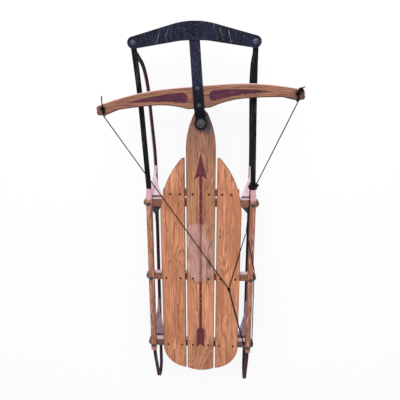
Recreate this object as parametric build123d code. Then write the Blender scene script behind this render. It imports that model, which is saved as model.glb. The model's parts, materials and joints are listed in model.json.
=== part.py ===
from build123d import *
import math
import os

# Steerable runner sled at real size, in millimetres.
# It stands on the ground at Z = 0, with +X forward and +Y to the rider's left.
# The steering is modelled straight ahead and then turned a little to the left.

# Deck of three boards
DECK_TOP = 144.0  # deck surface above the ground
BOARD_THICK = 12.0
CENTRE_BOARD_WIDTH = 89.0
BOARD_GAP = 5.0
RAIL_GAP = 25.5  # between the deck's edge and a wooden rail
NOSE_LENGTH = 116.0  # tapering front of the centre board
NOSE_TIP_RADIUS = 23.0
NOSE_PAST_PIVOT = 39.5
DECK_PAST_REAR_BENCH = 99.5
CENTRE_REAR_BOW = 10.0  # how far the centre board's rear end bows out
SIDE_TIP_AHEAD = 141.5  # tip of a side board ahead of the front bench
SIDE_TIP_WIDTH = 8.0  # blunt end of that tip
SIDE_TIP_RADIUS = 9.0
SIDE_FRONT_RADIUS = 260.0  # sweep from the tip back to the outer edge
SIDE_REAR_RADIUS = 86.0
BOARD_EDGE = 1.5  # bevel along the upper edges

# Cross benches and the cleat under the boards
FRONT_BENCH_X = 95.0  # ahead of the middle of the sled's length
BENCH_PITCH = 250.0
BENCH_WIDTH = 24.0
BENCH_HEIGHT = 20.0
BENCH_PAST_RAIL = 11.5
CLEAT_AHEAD = 32.5
CLEAT_WIDTH = 22.0
CLEAT_HEIGHT = 18.0
CLEAT_INSET = 8.0  # cleat end inside the deck's edge

# Wooden side rails on the bench ends
HALF_TRACK = 160.0  # rails, knees and runners lie this far from the centre line
RAIL_WIDTH = 17.0
RAIL_HEIGHT = 20.0
RAIL_AHEAD = 43.5
RAIL_BEHIND = 18.5
RAIL_BEVEL = 29.0
RAIL_LIP = 3.0
RAIL_EDGE = 2.0  # bevel along the upper edges

# Runners of grooved T-section steel
FLANGE_WIDTH = 11.5
FLANGE_THICK = 4.0
WEB_THICK = 4.0
WEB_HEIGHT = 9.0
GROOVE_WIDTH = 6.5
GROOVE_FLOOR = 3.5
GROOVE_DEPTH = 1.2
LOOP_RADIUS = 36.0  # bend that turns the runner up behind the sled
LOOP_RISE = 24.0  # slope of the leg from there up to the rail, degrees
LOOP_HEAD_RADIUS = 100.0  # bend that brings the leg level
LOOP_LEVEL = 11.0  # level end behind the rear bench
KICK_RADIUS = 100.0  # upsweep at the front
KICK_ANGLE = 75.0
KICK_TIP_RADIUS = 12.0
WEB_RUNOUT = 30.0  # the web stops this far below the flat tip

# Pressed steel knees between benches and runners
KNEE_SHEET = 2.5
KNEE_INNER = 36.0  # reach of a knee towards the deck, at the bench
KNEE_OUTER = 13.0
KNEE_SPLAY = 86.0  # foot centre from the bench centre
KNEE_FOOT = 22.0
KNEE_BEND = 5.0
KNEE_NECK = 18.0  # height of the narrow neck above the foot
KNEE_FLANK_RADIUS = 40.0
EAR_DEPTH = 7.0

# Front irons: flat bars from the front bench to the bumper
IRON_WIDTH = 15.5
IRON_THICK = 5.0
IRON_TAIL = 10.0  # end of the iron behind the bench centre
IRON_SPREAD = 8.4  # each iron's tip further out than its root
IRON_SWEEP_RADIUS = 700.0
IRON_TIP_RADIUS = 60.0
FLEX_AHEAD = 122.5  # where runner and iron flex, ahead of the front bench

# Steering strap, bar and bumper
PIVOT_AHEAD = 244.0  # pivot bolt ahead of the front bench
STRAP_REACH = 243.4  # pivot bolt to the bumper's centre rivet
STRAP_WIDTH = 30.0
STRAP_EYE_RADIUS = 18.0
STRAP_THICK = 3.0
STRAP_BEND = 7.0
STRAP_SLOT = 3.2  # play of the centre rivet along the strap, each way
JOGGLE_RUN = 24.0
BAR_THICK = 19.0
BAR_HALF_LENGTH = 295.0
BAR_FRONT = 104.0  # front edge ahead of the pivot
BAR_FLAT = 60.0  # half length of the straight middle of that edge
BAR_SWEEP = 33.0  # front edge falls back this far at the tips
BAR_EDGE = 2.5  # bevel along the upper edges
BLOCK_HALF_WIDTH = 32.0
BLOCK_DEPTH = 61.0
WAIST_DEPTH = 43.5  # depth where an arm is furthest forward behind
WAIST_ACROSS = 130.0
GRIP_DEPTH = 48.0  # from the front edge's middle to the slim end of an arm
GRIP_INSET = 59.0  # that end from the tip
FLARE_DEPTH = 59.0  # to the rear of the flared tip
FLARE_INSET = 25.0  # inner corner of the flare from the tip
FLARE_RADIUS = 22.0
TIP_RADIUS = 7.0
ROPE_HOLE_RADIUS = 5.5
ROPE_HOLE_AHEAD = 62.0
ROPE_HOLE_INSET = 19.0
BAR_LIFT = 6.0  # underside of the bar above the deck
BUMPER_LIFT = 12.5  # underside of the bumper above the deck
BUMPER_THICK = 3.0
BUMPER_SWEEP = 23.9  # centre rivet ahead of the end rivets
BUMPER_END_RADIUS = 16.0
BUMPER_CENTRE_DEPTH = 53.0
BUMPER_CENTRE_WIDTH = 34.0
BUMPER_CENTRE_AHEAD = 30.2  # front edge ahead of the centre rivet
STEER_REST = 4.4  # degrees to the left

# Rivets and the pivot bolt
RIVET_RADIUS = 4.0
RIVET_HEAD_RADIUS = 8.5
RIVET_HEAD_HEIGHT = 4.0
RIVET_TAIL_HEIGHT = 2.5
DOME_BANDS = 3  # sloping bands of a domed head
HEAD_SIDES = 16  # flats round a rivet's or bolt's head
PIVOT_RADIUS = 5.0
PIVOT_HEAD_RADIUS = 13.0
PIVOT_HEAD_HEIGHT = 6.0
PIVOT_NUT_RADIUS = 9.0
PIVOT_NUT_HEIGHT = 6.0
NUT_SIDES = 6

# Clearances
FIT = 0.2  # between pieces that stay still
SLIDE = 0.5  # between flat pieces that turn on each other
PIN_FIT = 0.3
LOOSE_PIN = 1.0
FLEX_FIT = 0.3

# Tow rope, tied tight from the bar to the frame
ROPE_RADIUS = 1.75
ROPE_SIDES = 8
ROPE_BEND = 11.0
KNOT_SIDES = 12
KNOT_RADIUS = 5.5  # knot on the right board
KNOT_BEHIND = 33.5  # behind the mid bench
KNOT_INSET = 34.0  # from the deck's edge
END_KNOT_RADIUS = 4.0
END_KNOT_AHEAD = 7.5  # of the rear bench
SPLIT_BEHIND = 85.5  # where a second strand is tied on, behind the front bench
SPLIT_INSET = 9.5  # from the right rail
SPLIT_SHORT = 8.0  # the second strand starts this far from the first
WRAP_LENGTH = 12.0
WRAP_AHEAD = 12.5  # middle of the wrap ahead of the wooden rail
CLIMB_LENGTH = 40.0  # from the iron up to the deck's height
CROSS_START = 34.5  # the rope crosses the right rail behind the split
CROSS_LENGTH = 90.0

# Places worked out from the sizes above
SIDE_BOARD_INNER = CENTRE_BOARD_WIDTH / 2 + BOARD_GAP
DECK_EDGE = HALF_TRACK - RAIL_WIDTH / 2 - RAIL_GAP
SIDE_BOARD_WIDTH = DECK_EDGE - SIDE_BOARD_INNER
BENCH_LENGTH = 2 * HALF_TRACK + RAIL_WIDTH + 2 * BENCH_PAST_RAIL
BENCH_TOP = DECK_TOP - BOARD_THICK
BENCH_BOTTOM = BENCH_TOP - BENCH_HEIGHT
BENCH_X = {
    "front": FRONT_BENCH_X,
    "mid": FRONT_BENCH_X - BENCH_PITCH,
    "rear": FRONT_BENCH_X - 2 * BENCH_PITCH,
}
SIDES = {"left": 1, "right": -1}
PIVOT_X = FRONT_BENCH_X + PIVOT_AHEAD
FLEX_X = FRONT_BENCH_X + FLEX_AHEAD
BUMPER_CENTRE_X = PIVOT_X + STRAP_REACH
BUMPER_END_X = BUMPER_CENTRE_X - BUMPER_SWEEP
BUMPER_BOTTOM = DECK_TOP + BUMPER_LIFT
WEB_TOP = FLANGE_THICK + WEB_HEIGHT
BUMPER_HALF_SPAN = HALF_TRACK + IRON_SPREAD
FLEX_SPAN = BUMPER_END_X - FLEX_X
FLEX_SPLAY = math.atan2(IRON_SPREAD, FLEX_SPAN)
TIP_REACH = math.hypot(FLEX_SPAN, IRON_SPREAD)
IRON_TIP_TOP = BUMPER_BOTTOM - SLIDE
RUNNER_TIP_BOTTOM = IRON_TIP_TOP - IRON_THICK - FLANGE_THICK

# How far the flexing irons and the bumper turn for each degree of steering
IRON_RATIO = STRAP_REACH / FLEX_SPAN
BUMPER_TWIST = IRON_SPREAD / BUMPER_HALF_SPAN
BUMPER_RATIO = -IRON_RATIO * (1 - BUMPER_TWIST)
BAR_TOP = DECK_TOP + BAR_LIFT + BAR_THICK
ROPE_LAY = ROPE_RADIUS + FIT  # middle of the rope above what it lies on
WRAP_X = FRONT_BENCH_X + RAIL_AHEAD + WRAP_AHEAD
KNOT = (BENCH_X["mid"] - KNOT_BEHIND, KNOT_INSET - DECK_EDGE, DECK_TOP + KNOT_RADIUS + FIT)
RAIL_INNER = RAIL_WIDTH / 2 - HALF_TRACK  # inner face of the right rail
RAIL_OUTER = -RAIL_WIDTH / 2 - HALF_TRACK
INNER_KNOT_Y = RAIL_INNER + END_KNOT_RADIUS + ROPE_RADIUS
OUTER_KNOT_Y = RAIL_OUTER - END_KNOT_RADIUS - ROPE_RADIUS
CENTRED_BELOW = (Align.CENTER, Align.CENTER, Align.MIN)


def bar_stock(section, path):
    """A section drawn with Y up, swept along a path that starts level."""
    tangent = path % 0
    start = Plane(origin=path @ 0, x_dir=Vector(0, 0, 1).cross(tangent), z_dir=tangent)
    return sweep(start * section, path=path)


def on_side(shape, side):
    """The left piece itself, or its mirror image on the right."""
    if SIDES[side] > 0:
        return shape
    return mirror(shape, about=Plane.XZ)


def plate(outline, bottom, thick):
    """A flat plate of an outline drawn in plan."""
    return extrude(Pos(0, 0, bottom) * outline, amount=thick)


def disc(x, y, bottom, radius, height):
    """An upright cylinder."""
    return Pos(x, y, bottom) * Cylinder(radius, height, align=CENTRED_BELOW)


def stack(sections, sides):
    """Flat-sided solid through level polygons, each given by its radius and height."""
    flat_share = math.cos(math.pi / sides)  # from the middle to a flat, over the radius
    bands = []
    for (radius, height), (next_radius, next_height) in zip(sections, sections[1:]):
        rise = next_height - height
        lean = math.degrees(math.atan2((radius - next_radius) * flat_share, rise))
        polygon = Pos(0, 0, height) * RegularPolygon(radius, sides)
        bands.append(extrude(polygon, amount=rise, taper=lean))
    return sum(bands[1:], bands[0])


def dome(x, y, bottom, radius, height):
    """A low domed head with a small flat on top."""
    ball_radius = (radius**2 + height**2) / (2 * height)
    opening = math.asin(radius / ball_radius)
    sections = []
    for band in range(DOME_BANDS):
        angle = opening * (1 - band / DOME_BANDS)
        drop = ball_radius * (1 - math.cos(angle))
        sections.append((ball_radius * math.sin(angle), height - drop))
    return Pos(x, y, bottom) * stack(sections, HEAD_SIDES)


def eased(board, top, width):
    """A board with its upper edges bevelled."""
    upper = [edge for edge in board.edges() if abs(edge.center().Z - top) < FIT]
    return chamfer(upper, width)


def tangent_arc(start, end):
    """An arc in plan that sets out straight across the sled."""
    return TangentArc(start, end, tangent=(0, math.copysign(1, end[1] - start[1])))


def near(sketch, corners):
    """The vertices of a sketch that lie at the given corners."""
    return [sketch.vertices().sort_by_distance(corner)[0] for corner in corners]


def centre_board():
    half = CENTRE_BOARD_WIDTH / 2
    tip = PIVOT_X + NOSE_PAST_PIVOT
    shoulder = tip - NOSE_LENGTH
    rear = BENCH_X["rear"] - DECK_PAST_REAR_BENCH
    corner = rear + CENTRE_REAR_BOW
    # The flank and the tip are two arcs that run smoothly into each other
    reach = NOSE_LENGTH - NOSE_TIP_RADIUS
    flank = (reach**2 + half**2 - NOSE_TIP_RADIUS**2) / (2 * (half - NOSE_TIP_RADIUS))
    turn = math.asin(reach / (flank - NOSE_TIP_RADIUS))
    meet_x = shoulder + flank * math.sin(turn)
    meet_y = half - flank * (1 - math.cos(turn))
    left_side = Line((corner, half), (shoulder, half))
    left_flank = RadiusArc((shoulder, half), (meet_x, meet_y), flank)
    nose = ThreePointArc((meet_x, meet_y), (tip, 0), (meet_x, -meet_y))
    right_flank = RadiusArc((meet_x, -meet_y), (shoulder, -half), flank)
    right_side = Line((shoulder, -half), (corner, -half))
    end = ThreePointArc((corner, -half), (rear, 0), (corner, half))
    outline = make_face([left_side, left_flank, nose, right_flank, right_side, end])
    board = eased(plate(outline, BENCH_TOP, BOARD_THICK), DECK_TOP, BOARD_EDGE)
    return board - disc(PIVOT_X, 0, BENCH_TOP, PIVOT_RADIUS + FIT, BOARD_THICK)


def side_board():
    inner = SIDE_BOARD_INNER
    outer = DECK_EDGE
    tip = FRONT_BENCH_X + SIDE_TIP_AHEAD
    corner = (tip, inner + SIDE_TIP_WIDTH)
    drop = SIDE_FRONT_RADIUS - (outer - corner[1])
    shoulder = tip - math.sqrt(SIDE_FRONT_RADIUS**2 - drop**2)
    fall = SIDE_REAR_RADIUS - SIDE_BOARD_WIDTH
    rear_corner = BENCH_X["rear"] - DECK_PAST_REAR_BENCH + CENTRE_REAR_BOW
    rear_start = rear_corner + math.sqrt(SIDE_REAR_RADIUS**2 - fall**2)
    outline = make_face(
        [
            Line((rear_corner, inner), (tip, inner)),
            Line((tip, inner), corner),
            RadiusArc(corner, (shoulder, outer), -SIDE_FRONT_RADIUS),
            Line((shoulder, outer), (rear_start, outer)),
            RadiusArc((rear_start, outer), (rear_corner, inner), -SIDE_REAR_RADIUS),
        ]
    )
    outline = fillet(near(outline, [corner]), SIDE_TIP_RADIUS)
    return eased(plate(outline, BENCH_TOP, BOARD_THICK), DECK_TOP, BOARD_EDGE)


def bench(name):
    outline = Pos(BENCH_X[name], 0) * SlotOverall(BENCH_LENGTH, BENCH_WIDTH, rotation=90)
    beam = plate(outline, BENCH_BOTTOM, BENCH_HEIGHT)
    if name != "front":
        return beam
    # The front irons are let into the top of the front bench
    for side in SIDES.values():
        notch = Box(BENCH_WIDTH, IRON_WIDTH + 2 * FIT, IRON_THICK)
        beam -= Pos(BENCH_X[name], side * HALF_TRACK, BENCH_TOP - IRON_THICK / 2) * notch
    return beam


def deck_cleat():
    cleat = Box(CLEAT_WIDTH, 2 * (DECK_EDGE - CLEAT_INSET), CLEAT_HEIGHT)
    return Pos(FRONT_BENCH_X + CLEAT_AHEAD, 0, BENCH_TOP - CLEAT_HEIGHT / 2) * cleat


def side_rail():
    front = FRONT_BENCH_X + RAIL_AHEAD
    rear = BENCH_X["rear"] - RAIL_BEHIND
    top = BENCH_TOP + RAIL_HEIGHT
    profile = Polyline(
        (rear, BENCH_TOP),
        (front, BENCH_TOP),
        (front, BENCH_TOP + RAIL_LIP),
        (front - RAIL_BEVEL, top),
        (rear, top),
        close=True,
    )
    face = Plane.XZ * make_face(profile)
    rail = Pos(0, HALF_TRACK + RAIL_WIDTH / 2, 0) * extrude(face, amount=RAIL_WIDTH)
    long_edges = [e for e in rail.edges().filter_by(Axis.X) if abs(e.center().Z - top) < FIT]
    return chamfer(long_edges, RAIL_EDGE)


def tee_section(with_web=True):
    """Grooved running flange with its upright web, drawn with the ground at Y = 0."""
    section = Pos(0, FLANGE_THICK / 2) * Rectangle(FLANGE_WIDTH, FLANGE_THICK)
    groove = Polyline(
        (-GROOVE_WIDTH / 2, 0),
        (-GROOVE_FLOOR / 2, GROOVE_DEPTH),
        (GROOVE_FLOOR / 2, GROOVE_DEPTH),
        (GROOVE_WIDTH / 2, 0),
        close=True,
    )
    section -= make_face(groove)
    if with_web:
        section += Pos(0, (WEB_TOP + GROOVE_DEPTH) / 2) * Rectangle(WEB_THICK, WEB_TOP - GROOVE_DEPTH)
    return section


def flex_socket(width, bottom, height):
    """What is cut from a fixed bar so that the round end of the flexing bar fits."""
    return disc(FLEX_X, HALF_TRACK, bottom, width / 2 + FLEX_FIT, height)


def rounded_root(bar, width, bottom, height):
    """The flexing bar with its root rounded about the flexing axis."""
    corner = Pos(FLEX_X - width / 2, HALF_TRACK, bottom)
    behind = corner * Box(width, 2 * width, height, align=CENTRED_BELOW)
    return bar - (behind - disc(FLEX_X, HALF_TRACK, bottom, width / 2, height))


def loop_bend(x, z, radius, start, end):
    """A bend of the rear loop about a centre, from one slope of the bar to another."""
    slopes = (start, (start + end) / 2, end)
    return ThreePointArc(
        *[(x - radius * math.sin(turn), HALF_TRACK, z + radius * math.cos(turn)) for turn in slopes]
    )


def runner():
    """Fixed length of a runner, with the loop that turns up behind the sled."""
    rise = math.radians(LOOP_RISE)
    loop_end = BENCH_X["rear"] - BENCH_WIDTH / 2
    level_x = loop_end - LOOP_LEVEL
    widening = LOOP_HEAD_RADIUS - LOOP_RADIUS
    climb = BENCH_TOP - LOOP_HEAD_RADIUS - LOOP_RADIUS + widening * math.cos(rise)
    loop_x = level_x - widening * math.sin(rise) - climb / math.tan(rise)
    rear_bend = loop_bend(loop_x, LOOP_RADIUS, LOOP_RADIUS, math.pi, rise)
    top_bend = loop_bend(level_x, BENCH_TOP - LOOP_HEAD_RADIUS, LOOP_HEAD_RADIUS, rise, 0)
    sole = Line((FLEX_X, HALF_TRACK, 0), rear_bend @ 0)
    leg = Line(rear_bend @ 1, top_bend @ 0)
    head = Line(top_bend @ 1, (loop_end, HALF_TRACK, BENCH_TOP))
    bar = bar_stock(tee_section(), Wire([sole, rear_bend, leg, top_bend, head]))
    return bar - flex_socket(FLANGE_WIDTH, 0, WEB_TOP)


def flex_plane():
    """Upright plane along a flexing bar: X along the bar, Y up."""
    along = Vector(math.cos(FLEX_SPLAY), math.sin(FLEX_SPLAY), 0)
    return Plane(
        origin=(FLEX_X, HALF_TRACK, 0),
        x_dir=along,
        z_dir=along.cross(Vector(0, 0, 1)),
    )


def runner_front():
    """Flexing front of a runner, swept up to a flat tip under the iron."""
    kick = math.radians(KICK_ANGLE)
    turn_height = (KICK_RADIUS + KICK_TIP_RADIUS) * (1 - math.cos(kick))
    slope_length = (RUNNER_TIP_BOTTOM - turn_height) / math.sin(kick)
    kick_length = (KICK_RADIUS + KICK_TIP_RADIUS) * math.sin(kick) + slope_length * math.cos(kick)
    kick_start = TIP_REACH - RIVET_HEAD_RADIUS - kick_length
    sole = Line((-FLANGE_WIDTH / 2, 0), (kick_start, 0))
    upsweep = JernArc(start=sole @ 1, tangent=sole % 1, radius=KICK_RADIUS, arc_size=KICK_ANGLE)
    slope = Line(upsweep @ 1, upsweep @ 1 + slope_length * (upsweep % 1))
    tip_bend = JernArc(start=slope @ 1, tangent=slope % 1, radius=KICK_TIP_RADIUS, arc_size=-KICK_ANGLE)
    flat = Line(tip_bend @ 1, tip_bend @ 1 + Vector(2 * RIVET_HEAD_RADIUS, 0, 0))
    web_slope = Line(upsweep @ 1, upsweep @ 1 + (slope_length - WEB_RUNOUT) * (upsweep % 1))
    plane = flex_plane()
    flange = bar_stock(tee_section(False), plane * Wire([sole, upsweep, slope, tip_bend, flat]))
    web = Pos(0, (FLANGE_THICK + WEB_TOP) / 2) * Rectangle(WEB_THICK, WEB_HEIGHT)
    bar = flange + bar_stock(web, plane * Wire([sole, upsweep, web_slope]))
    bar = rounded_root(bar, FLANGE_WIDTH, 0, WEB_TOP)
    return bar - rivet_bore(RUNNER_TIP_BOTTOM, FLANGE_THICK)


def rivet_bore(bottom, height):
    return disc(BUMPER_END_X, BUMPER_HALF_SPAN, bottom, RIVET_RADIUS + FIT, height)


def iron_root():
    """Fixed end of a front iron, let into the front bench under the wooden rail."""
    length = FLEX_X - FRONT_BENCH_X + IRON_TAIL
    centre = FRONT_BENCH_X - IRON_TAIL + length / 2
    bottom = BENCH_TOP - IRON_THICK
    bar = Pos(centre, HALF_TRACK, bottom) * Box(length, IRON_WIDTH, IRON_THICK, align=CENTRED_BELOW)
    return bar - flex_socket(IRON_WIDTH, bottom, IRON_THICK)


def iron_front():
    """Flexing front iron, level at first and then rising to the bumper."""
    rise = IRON_TIP_TOP - BENCH_TOP
    turn = math.acos(1 - rise / (IRON_SWEEP_RADIUS + IRON_TIP_RADIUS))
    run = (IRON_SWEEP_RADIUS + IRON_TIP_RADIUS) * math.sin(turn)
    middle = BENCH_TOP - IRON_THICK / 2
    level = Line((-IRON_WIDTH / 2, middle), (TIP_REACH - RIVET_HEAD_RADIUS - run, middle))
    degrees = math.degrees(turn)
    sweep_up = JernArc(start=level @ 1, tangent=level % 1, radius=IRON_SWEEP_RADIUS, arc_size=degrees)
    flatten = JernArc(
        start=sweep_up @ 1, tangent=sweep_up % 1, radius=IRON_TIP_RADIUS, arc_size=-degrees
    )
    flat = Line(flatten @ 1, flatten @ 1 + Vector(2 * RIVET_HEAD_RADIUS + FIT, 0, 0))
    path = flex_plane() * Wire([level, sweep_up, flatten, flat])
    bar = bar_stock(Rectangle(IRON_WIDTH, IRON_THICK), path)
    bar = rounded_root(bar, IRON_WIDTH, BENCH_TOP - IRON_THICK, IRON_THICK)
    return bar - rivet_bore(IRON_TIP_TOP - IRON_THICK, IRON_THICK)


def rivet(x, y, under, head):
    """A rivet from under the lowest plate up to its domed head."""
    shank = disc(x, y, under, RIVET_RADIUS, head - under)
    outline = Pos(x, y) * RegularPolygon(RIVET_HEAD_RADIUS, HEAD_SIDES)
    tail = plate(outline, under - RIVET_TAIL_HEIGHT, RIVET_TAIL_HEIGHT)
    return shank + tail + dome(x, y, head, RIVET_HEAD_RADIUS, RIVET_HEAD_HEIGHT)


def bumper_end_rivet():
    head = BUMPER_BOTTOM + BUMPER_THICK + SLIDE
    return rivet(BUMPER_END_X, BUMPER_HALF_SPAN, RUNNER_TIP_BOTTOM, head)


def knee(name):
    """Splayed pair of pressed legs, wide at the bench and narrow at the runner."""
    top = BENCH_BOTTOM - KNEE_SHEET / 2
    foot = WEB_TOP + KNEE_SHEET / 2
    toe = KNEE_SPLAY + KNEE_FOOT / 2
    heel = KNEE_SPLAY - KNEE_FOOT / 2
    crown = BENCH_WIDTH / 2
    strip = FilletPolyline(
        (-toe, 0, foot),
        (-heel, 0, foot),
        (-crown, 0, top),
        (crown, 0, top),
        (heel, 0, foot),
        (toe, 0, foot),
        radius=KNEE_BEND,
    )
    legs = bar_stock(Rectangle(2 * KNEE_INNER, KNEE_SHEET), strip)
    # The flanks run straight from the bench down to a neck just wider than the web
    neck_half = WEB_THICK / 2 + FIT + KNEE_SHEET
    neck = WEB_TOP + KNEE_NECK
    necks = [(-neck_half, neck), (neck_half, neck)]
    crown_corners = [(KNEE_OUTER, BENCH_BOTTOM), (-KNEE_INNER, BENCH_BOTTOM)]
    flanks = Polyline((-neck_half, 0), (neck_half, 0), necks[1], *crown_corners, necks[0], close=True)
    flat = make_face(flanks)
    outline = Plane.YZ * fillet(near(flat, necks), KNEE_FLANK_RADIUS)
    legs &= extrude(outline, amount=2 * toe, both=True)
    for foot_x in (-KNEE_SPLAY, KNEE_SPLAY):
        for face in (-1, 1):
            ear = Box(KNEE_FOOT, KNEE_SHEET, EAR_DEPTH + KNEE_SHEET)
            ear_y = face * (neck_half - KNEE_SHEET / 2)
            legs += Pos(foot_x, ear_y, WEB_TOP - (EAR_DEPTH - KNEE_SHEET) / 2) * ear
    return Pos(BENCH_X[name], HALF_TRACK, 0) * legs


def steering_strap():
    rest = DECK_TOP + SLIDE + STRAP_THICK / 2
    over_bar = DECK_TOP + BAR_LIFT + BAR_THICK + STRAP_THICK / 2
    under_bumper = BUMPER_BOTTOM - SLIDE - STRAP_THICK / 2
    bar_rear = PIVOT_X + BAR_FRONT - BLOCK_DEPTH
    bar_front = PIVOT_X + BAR_FRONT
    tuck = BUMPER_CENTRE_X + BUMPER_CENTRE_AHEAD - BUMPER_CENTRE_DEPTH - STRAP_WIDTH / 3
    strip = FilletPolyline(
        (PIVOT_X - STRAP_EYE_RADIUS, 0, rest),
        (bar_rear - JOGGLE_RUN, 0, rest),
        (bar_rear, 0, over_bar),
        (bar_front + STRAP_BEND, 0, over_bar),
        (tuck, 0, under_bumper),
        (BUMPER_CENTRE_X + STRAP_WIDTH / 2, 0, under_bumper),
        radius=STRAP_BEND,
    )
    strap = bar_stock(Rectangle(2 * STRAP_EYE_RADIUS, STRAP_THICK), strip)
    eye = Pos(PIVOT_X, 0) * Circle(STRAP_EYE_RADIUS)
    length = STRAP_REACH + STRAP_WIDTH
    body = Pos(PIVOT_X + STRAP_REACH / 2, 0) * SlotOverall(length, STRAP_WIDTH)
    strap &= plate(eye + body, DECK_TOP, over_bar + STRAP_THICK - DECK_TOP)
    strap -= disc(PIVOT_X, 0, DECK_TOP, PIVOT_RADIUS + PIN_FIT, 2 * STRAP_THICK)
    slot_width = 2 * (RIVET_RADIUS + PIN_FIT) + STRAP_SLOT / 2
    slot = Pos(BUMPER_CENTRE_X, 0) * SlotOverall(slot_width + 2 * STRAP_SLOT, slot_width)
    return strap - plate(slot, under_bumper - STRAP_THICK, 2 * STRAP_THICK)


def steering_bar():
    """Bow-shaped bar with a deep middle, slim arms and flared tips."""
    front = PIVOT_X + BAR_FRONT
    flare = front - FLARE_DEPTH
    end = BAR_HALF_LENGTH
    middle = (front, BAR_FLAT)
    front_corner = (front - BAR_SWEEP, end)
    tip_rear = (flare, end)
    flare_inner = (flare, end - FLARE_INSET)
    grip = (front - GRIP_DEPTH, end - GRIP_INSET)
    waist = (front - WAIST_DEPTH, WAIST_ACROSS)
    block = (front - BLOCK_DEPTH, BLOCK_HALF_WIDTH)
    half = make_face(
        [
            Line((front, 0), middle),
            tangent_arc(middle, front_corner),
            Polyline(front_corner, tip_rear, flare_inner, grip),
            tangent_arc(waist, grip),
            tangent_arc(waist, block),
            Polyline(block, (block[0], 0), (front, 0)),
        ]
    )
    half = fillet(near(half, [front_corner, tip_rear]), TIP_RADIUS)
    half = fillet(near(half, [flare_inner, grip, block]), FLARE_RADIUS)
    bottom = DECK_TOP + BAR_LIFT
    outline = half + mirror(half, about=Plane.XZ)
    bar = eased(plate(outline, bottom, BAR_THICK), bottom + BAR_THICK, BAR_EDGE)
    for side in SIDES.values():
        hole_y = side * (BAR_HALF_LENGTH - ROPE_HOLE_INSET)
        bar -= disc(PIVOT_X + ROPE_HOLE_AHEAD, hole_y, bottom, ROPE_HOLE_RADIUS, BAR_THICK)
    return bar


def bumper_plate():
    centre_front = BUMPER_CENTRE_X + BUMPER_CENTRE_AHEAD
    middle = Pos(centre_front - BUMPER_CENTRE_DEPTH / 2, 0) * Rectangle(
        BUMPER_CENTRE_DEPTH, BUMPER_CENTRE_WIDTH
    )
    outline = middle
    for side in SIDES.values():
        end = Pos(BUMPER_END_X, side * BUMPER_HALF_SPAN) * Circle(BUMPER_END_RADIUS)
        outline += make_hull(end.edges() + middle.edges())
    bumper = plate(outline, BUMPER_BOTTOM, BUMPER_THICK)
    holes = [
        (BUMPER_END_X, BUMPER_HALF_SPAN, PIN_FIT),
        (BUMPER_END_X, -BUMPER_HALF_SPAN, LOOSE_PIN),
        (BUMPER_CENTRE_X, 0, FIT),
    ]
    for x, y, play in holes:
        bumper -= disc(x, y, BUMPER_BOTTOM, RIVET_RADIUS + play, BUMPER_THICK)
    return bumper


def bumper_centre_rivet():
    under = BUMPER_BOTTOM - 2 * SLIDE - STRAP_THICK
    return rivet(BUMPER_CENTRE_X, 0, under, BUMPER_BOTTOM + BUMPER_THICK)


def pivot_bolt():
    head = DECK_TOP + 2 * SLIDE + STRAP_THICK
    shank = disc(PIVOT_X, 0, BENCH_TOP, PIVOT_RADIUS, head - BENCH_TOP)
    hexagon = Pos(PIVOT_X, 0) * RegularPolygon(PIVOT_NUT_RADIUS, NUT_SIDES)
    nut = plate(hexagon, BENCH_TOP - PIVOT_NUT_HEIGHT, PIVOT_NUT_HEIGHT)
    return shank + nut + dome(PIVOT_X, 0, head, PIVOT_HEAD_RADIUS, PIVOT_HEAD_HEIGHT)


def rope_line(points):
    """A strand of rope along straight runs with rounded turns."""
    line = FilletPolyline(*points, radius=ROPE_BEND) if len(points) > 2 else Line(*points)
    start = Plane(origin=line @ 0, z_dir=line % 0)
    return sweep(start * RegularPolygon(ROPE_RADIUS, ROPE_SIDES), path=line)


def steered_point(ahead, across, height):
    """A point on the steering, given from the pivot, with the steering at rest."""
    turn = math.radians(STEER_REST)
    x = PIVOT_X + ahead * math.cos(turn) - across * math.sin(turn)
    y = ahead * math.sin(turn) + across * math.cos(turn)
    return (x, y, height)


def rope_off_bar(side):
    """Where a strand leaves its hole and lies over the bar's rear edge."""
    across = SIDES[side] * (BAR_HALF_LENGTH - ROPE_HOLE_INSET)
    height = BAR_TOP + ROPE_LAY
    rim = steered_point(ROPE_HOLE_AHEAD - ROPE_HOLE_RADIUS - ROPE_RADIUS, across, height)
    edge = steered_point(BAR_FRONT - FLARE_DEPTH - ROPE_RADIUS, across, height)
    return [rim, edge]


def towards(start, end, short):
    """The point on the way to an end, stopping short of it."""
    start, end = Vector(*start), Vector(*end)
    return tuple(end - (end - start).normalized() * short)


def rope_left():
    """Left strand, from the bar straight to the knot on the deck."""
    points = rope_off_bar("left")
    end = towards(points[-1], KNOT, KNOT_RADIUS + SLIDE)
    return rope_line(points + [end])


def rope_right():
    """Right strand, from the bar to the wrap on the right iron."""
    points = rope_off_bar("right")
    outside = -HALF_TRACK - IRON_WIDTH / 2 - ROPE_LAY
    end = (WRAP_X + WRAP_LENGTH / 2 + ROPE_LAY, outside, BENCH_TOP)
    return rope_line(points + [end])


def rope_wrap():
    """Turns of rope round the right iron, as one closed sleeve."""
    inner_width = IRON_WIDTH + 2 * FIT
    inner_height = IRON_THICK + 2 * FIT
    wall = 2 * ROPE_RADIUS
    turns = RectangleRounded(inner_width + 2 * wall, inner_height + 2 * wall, wall)
    ring = Plane.YZ * (turns - Rectangle(inner_width, inner_height))
    sleeve = extrude(ring, amount=WRAP_LENGTH / 2, both=True)
    return Pos(WRAP_X, -HALF_TRACK, BENCH_TOP - IRON_THICK / 2) * sleeve


def end_knot(across):
    """Place of a knot that lies on the rear bench."""
    return (BENCH_X["rear"] + END_KNOT_AHEAD, across, BENCH_TOP + END_KNOT_RADIUS + FIT)


def bead(centre, radius):
    """A knot, as a bead with bevelled rims."""
    half = radius / 2
    sections = [(half, -radius), (radius, -half), (radius, half), (half, radius)]
    return Pos(*centre) * stack(sections, KNOT_SIDES)


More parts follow.
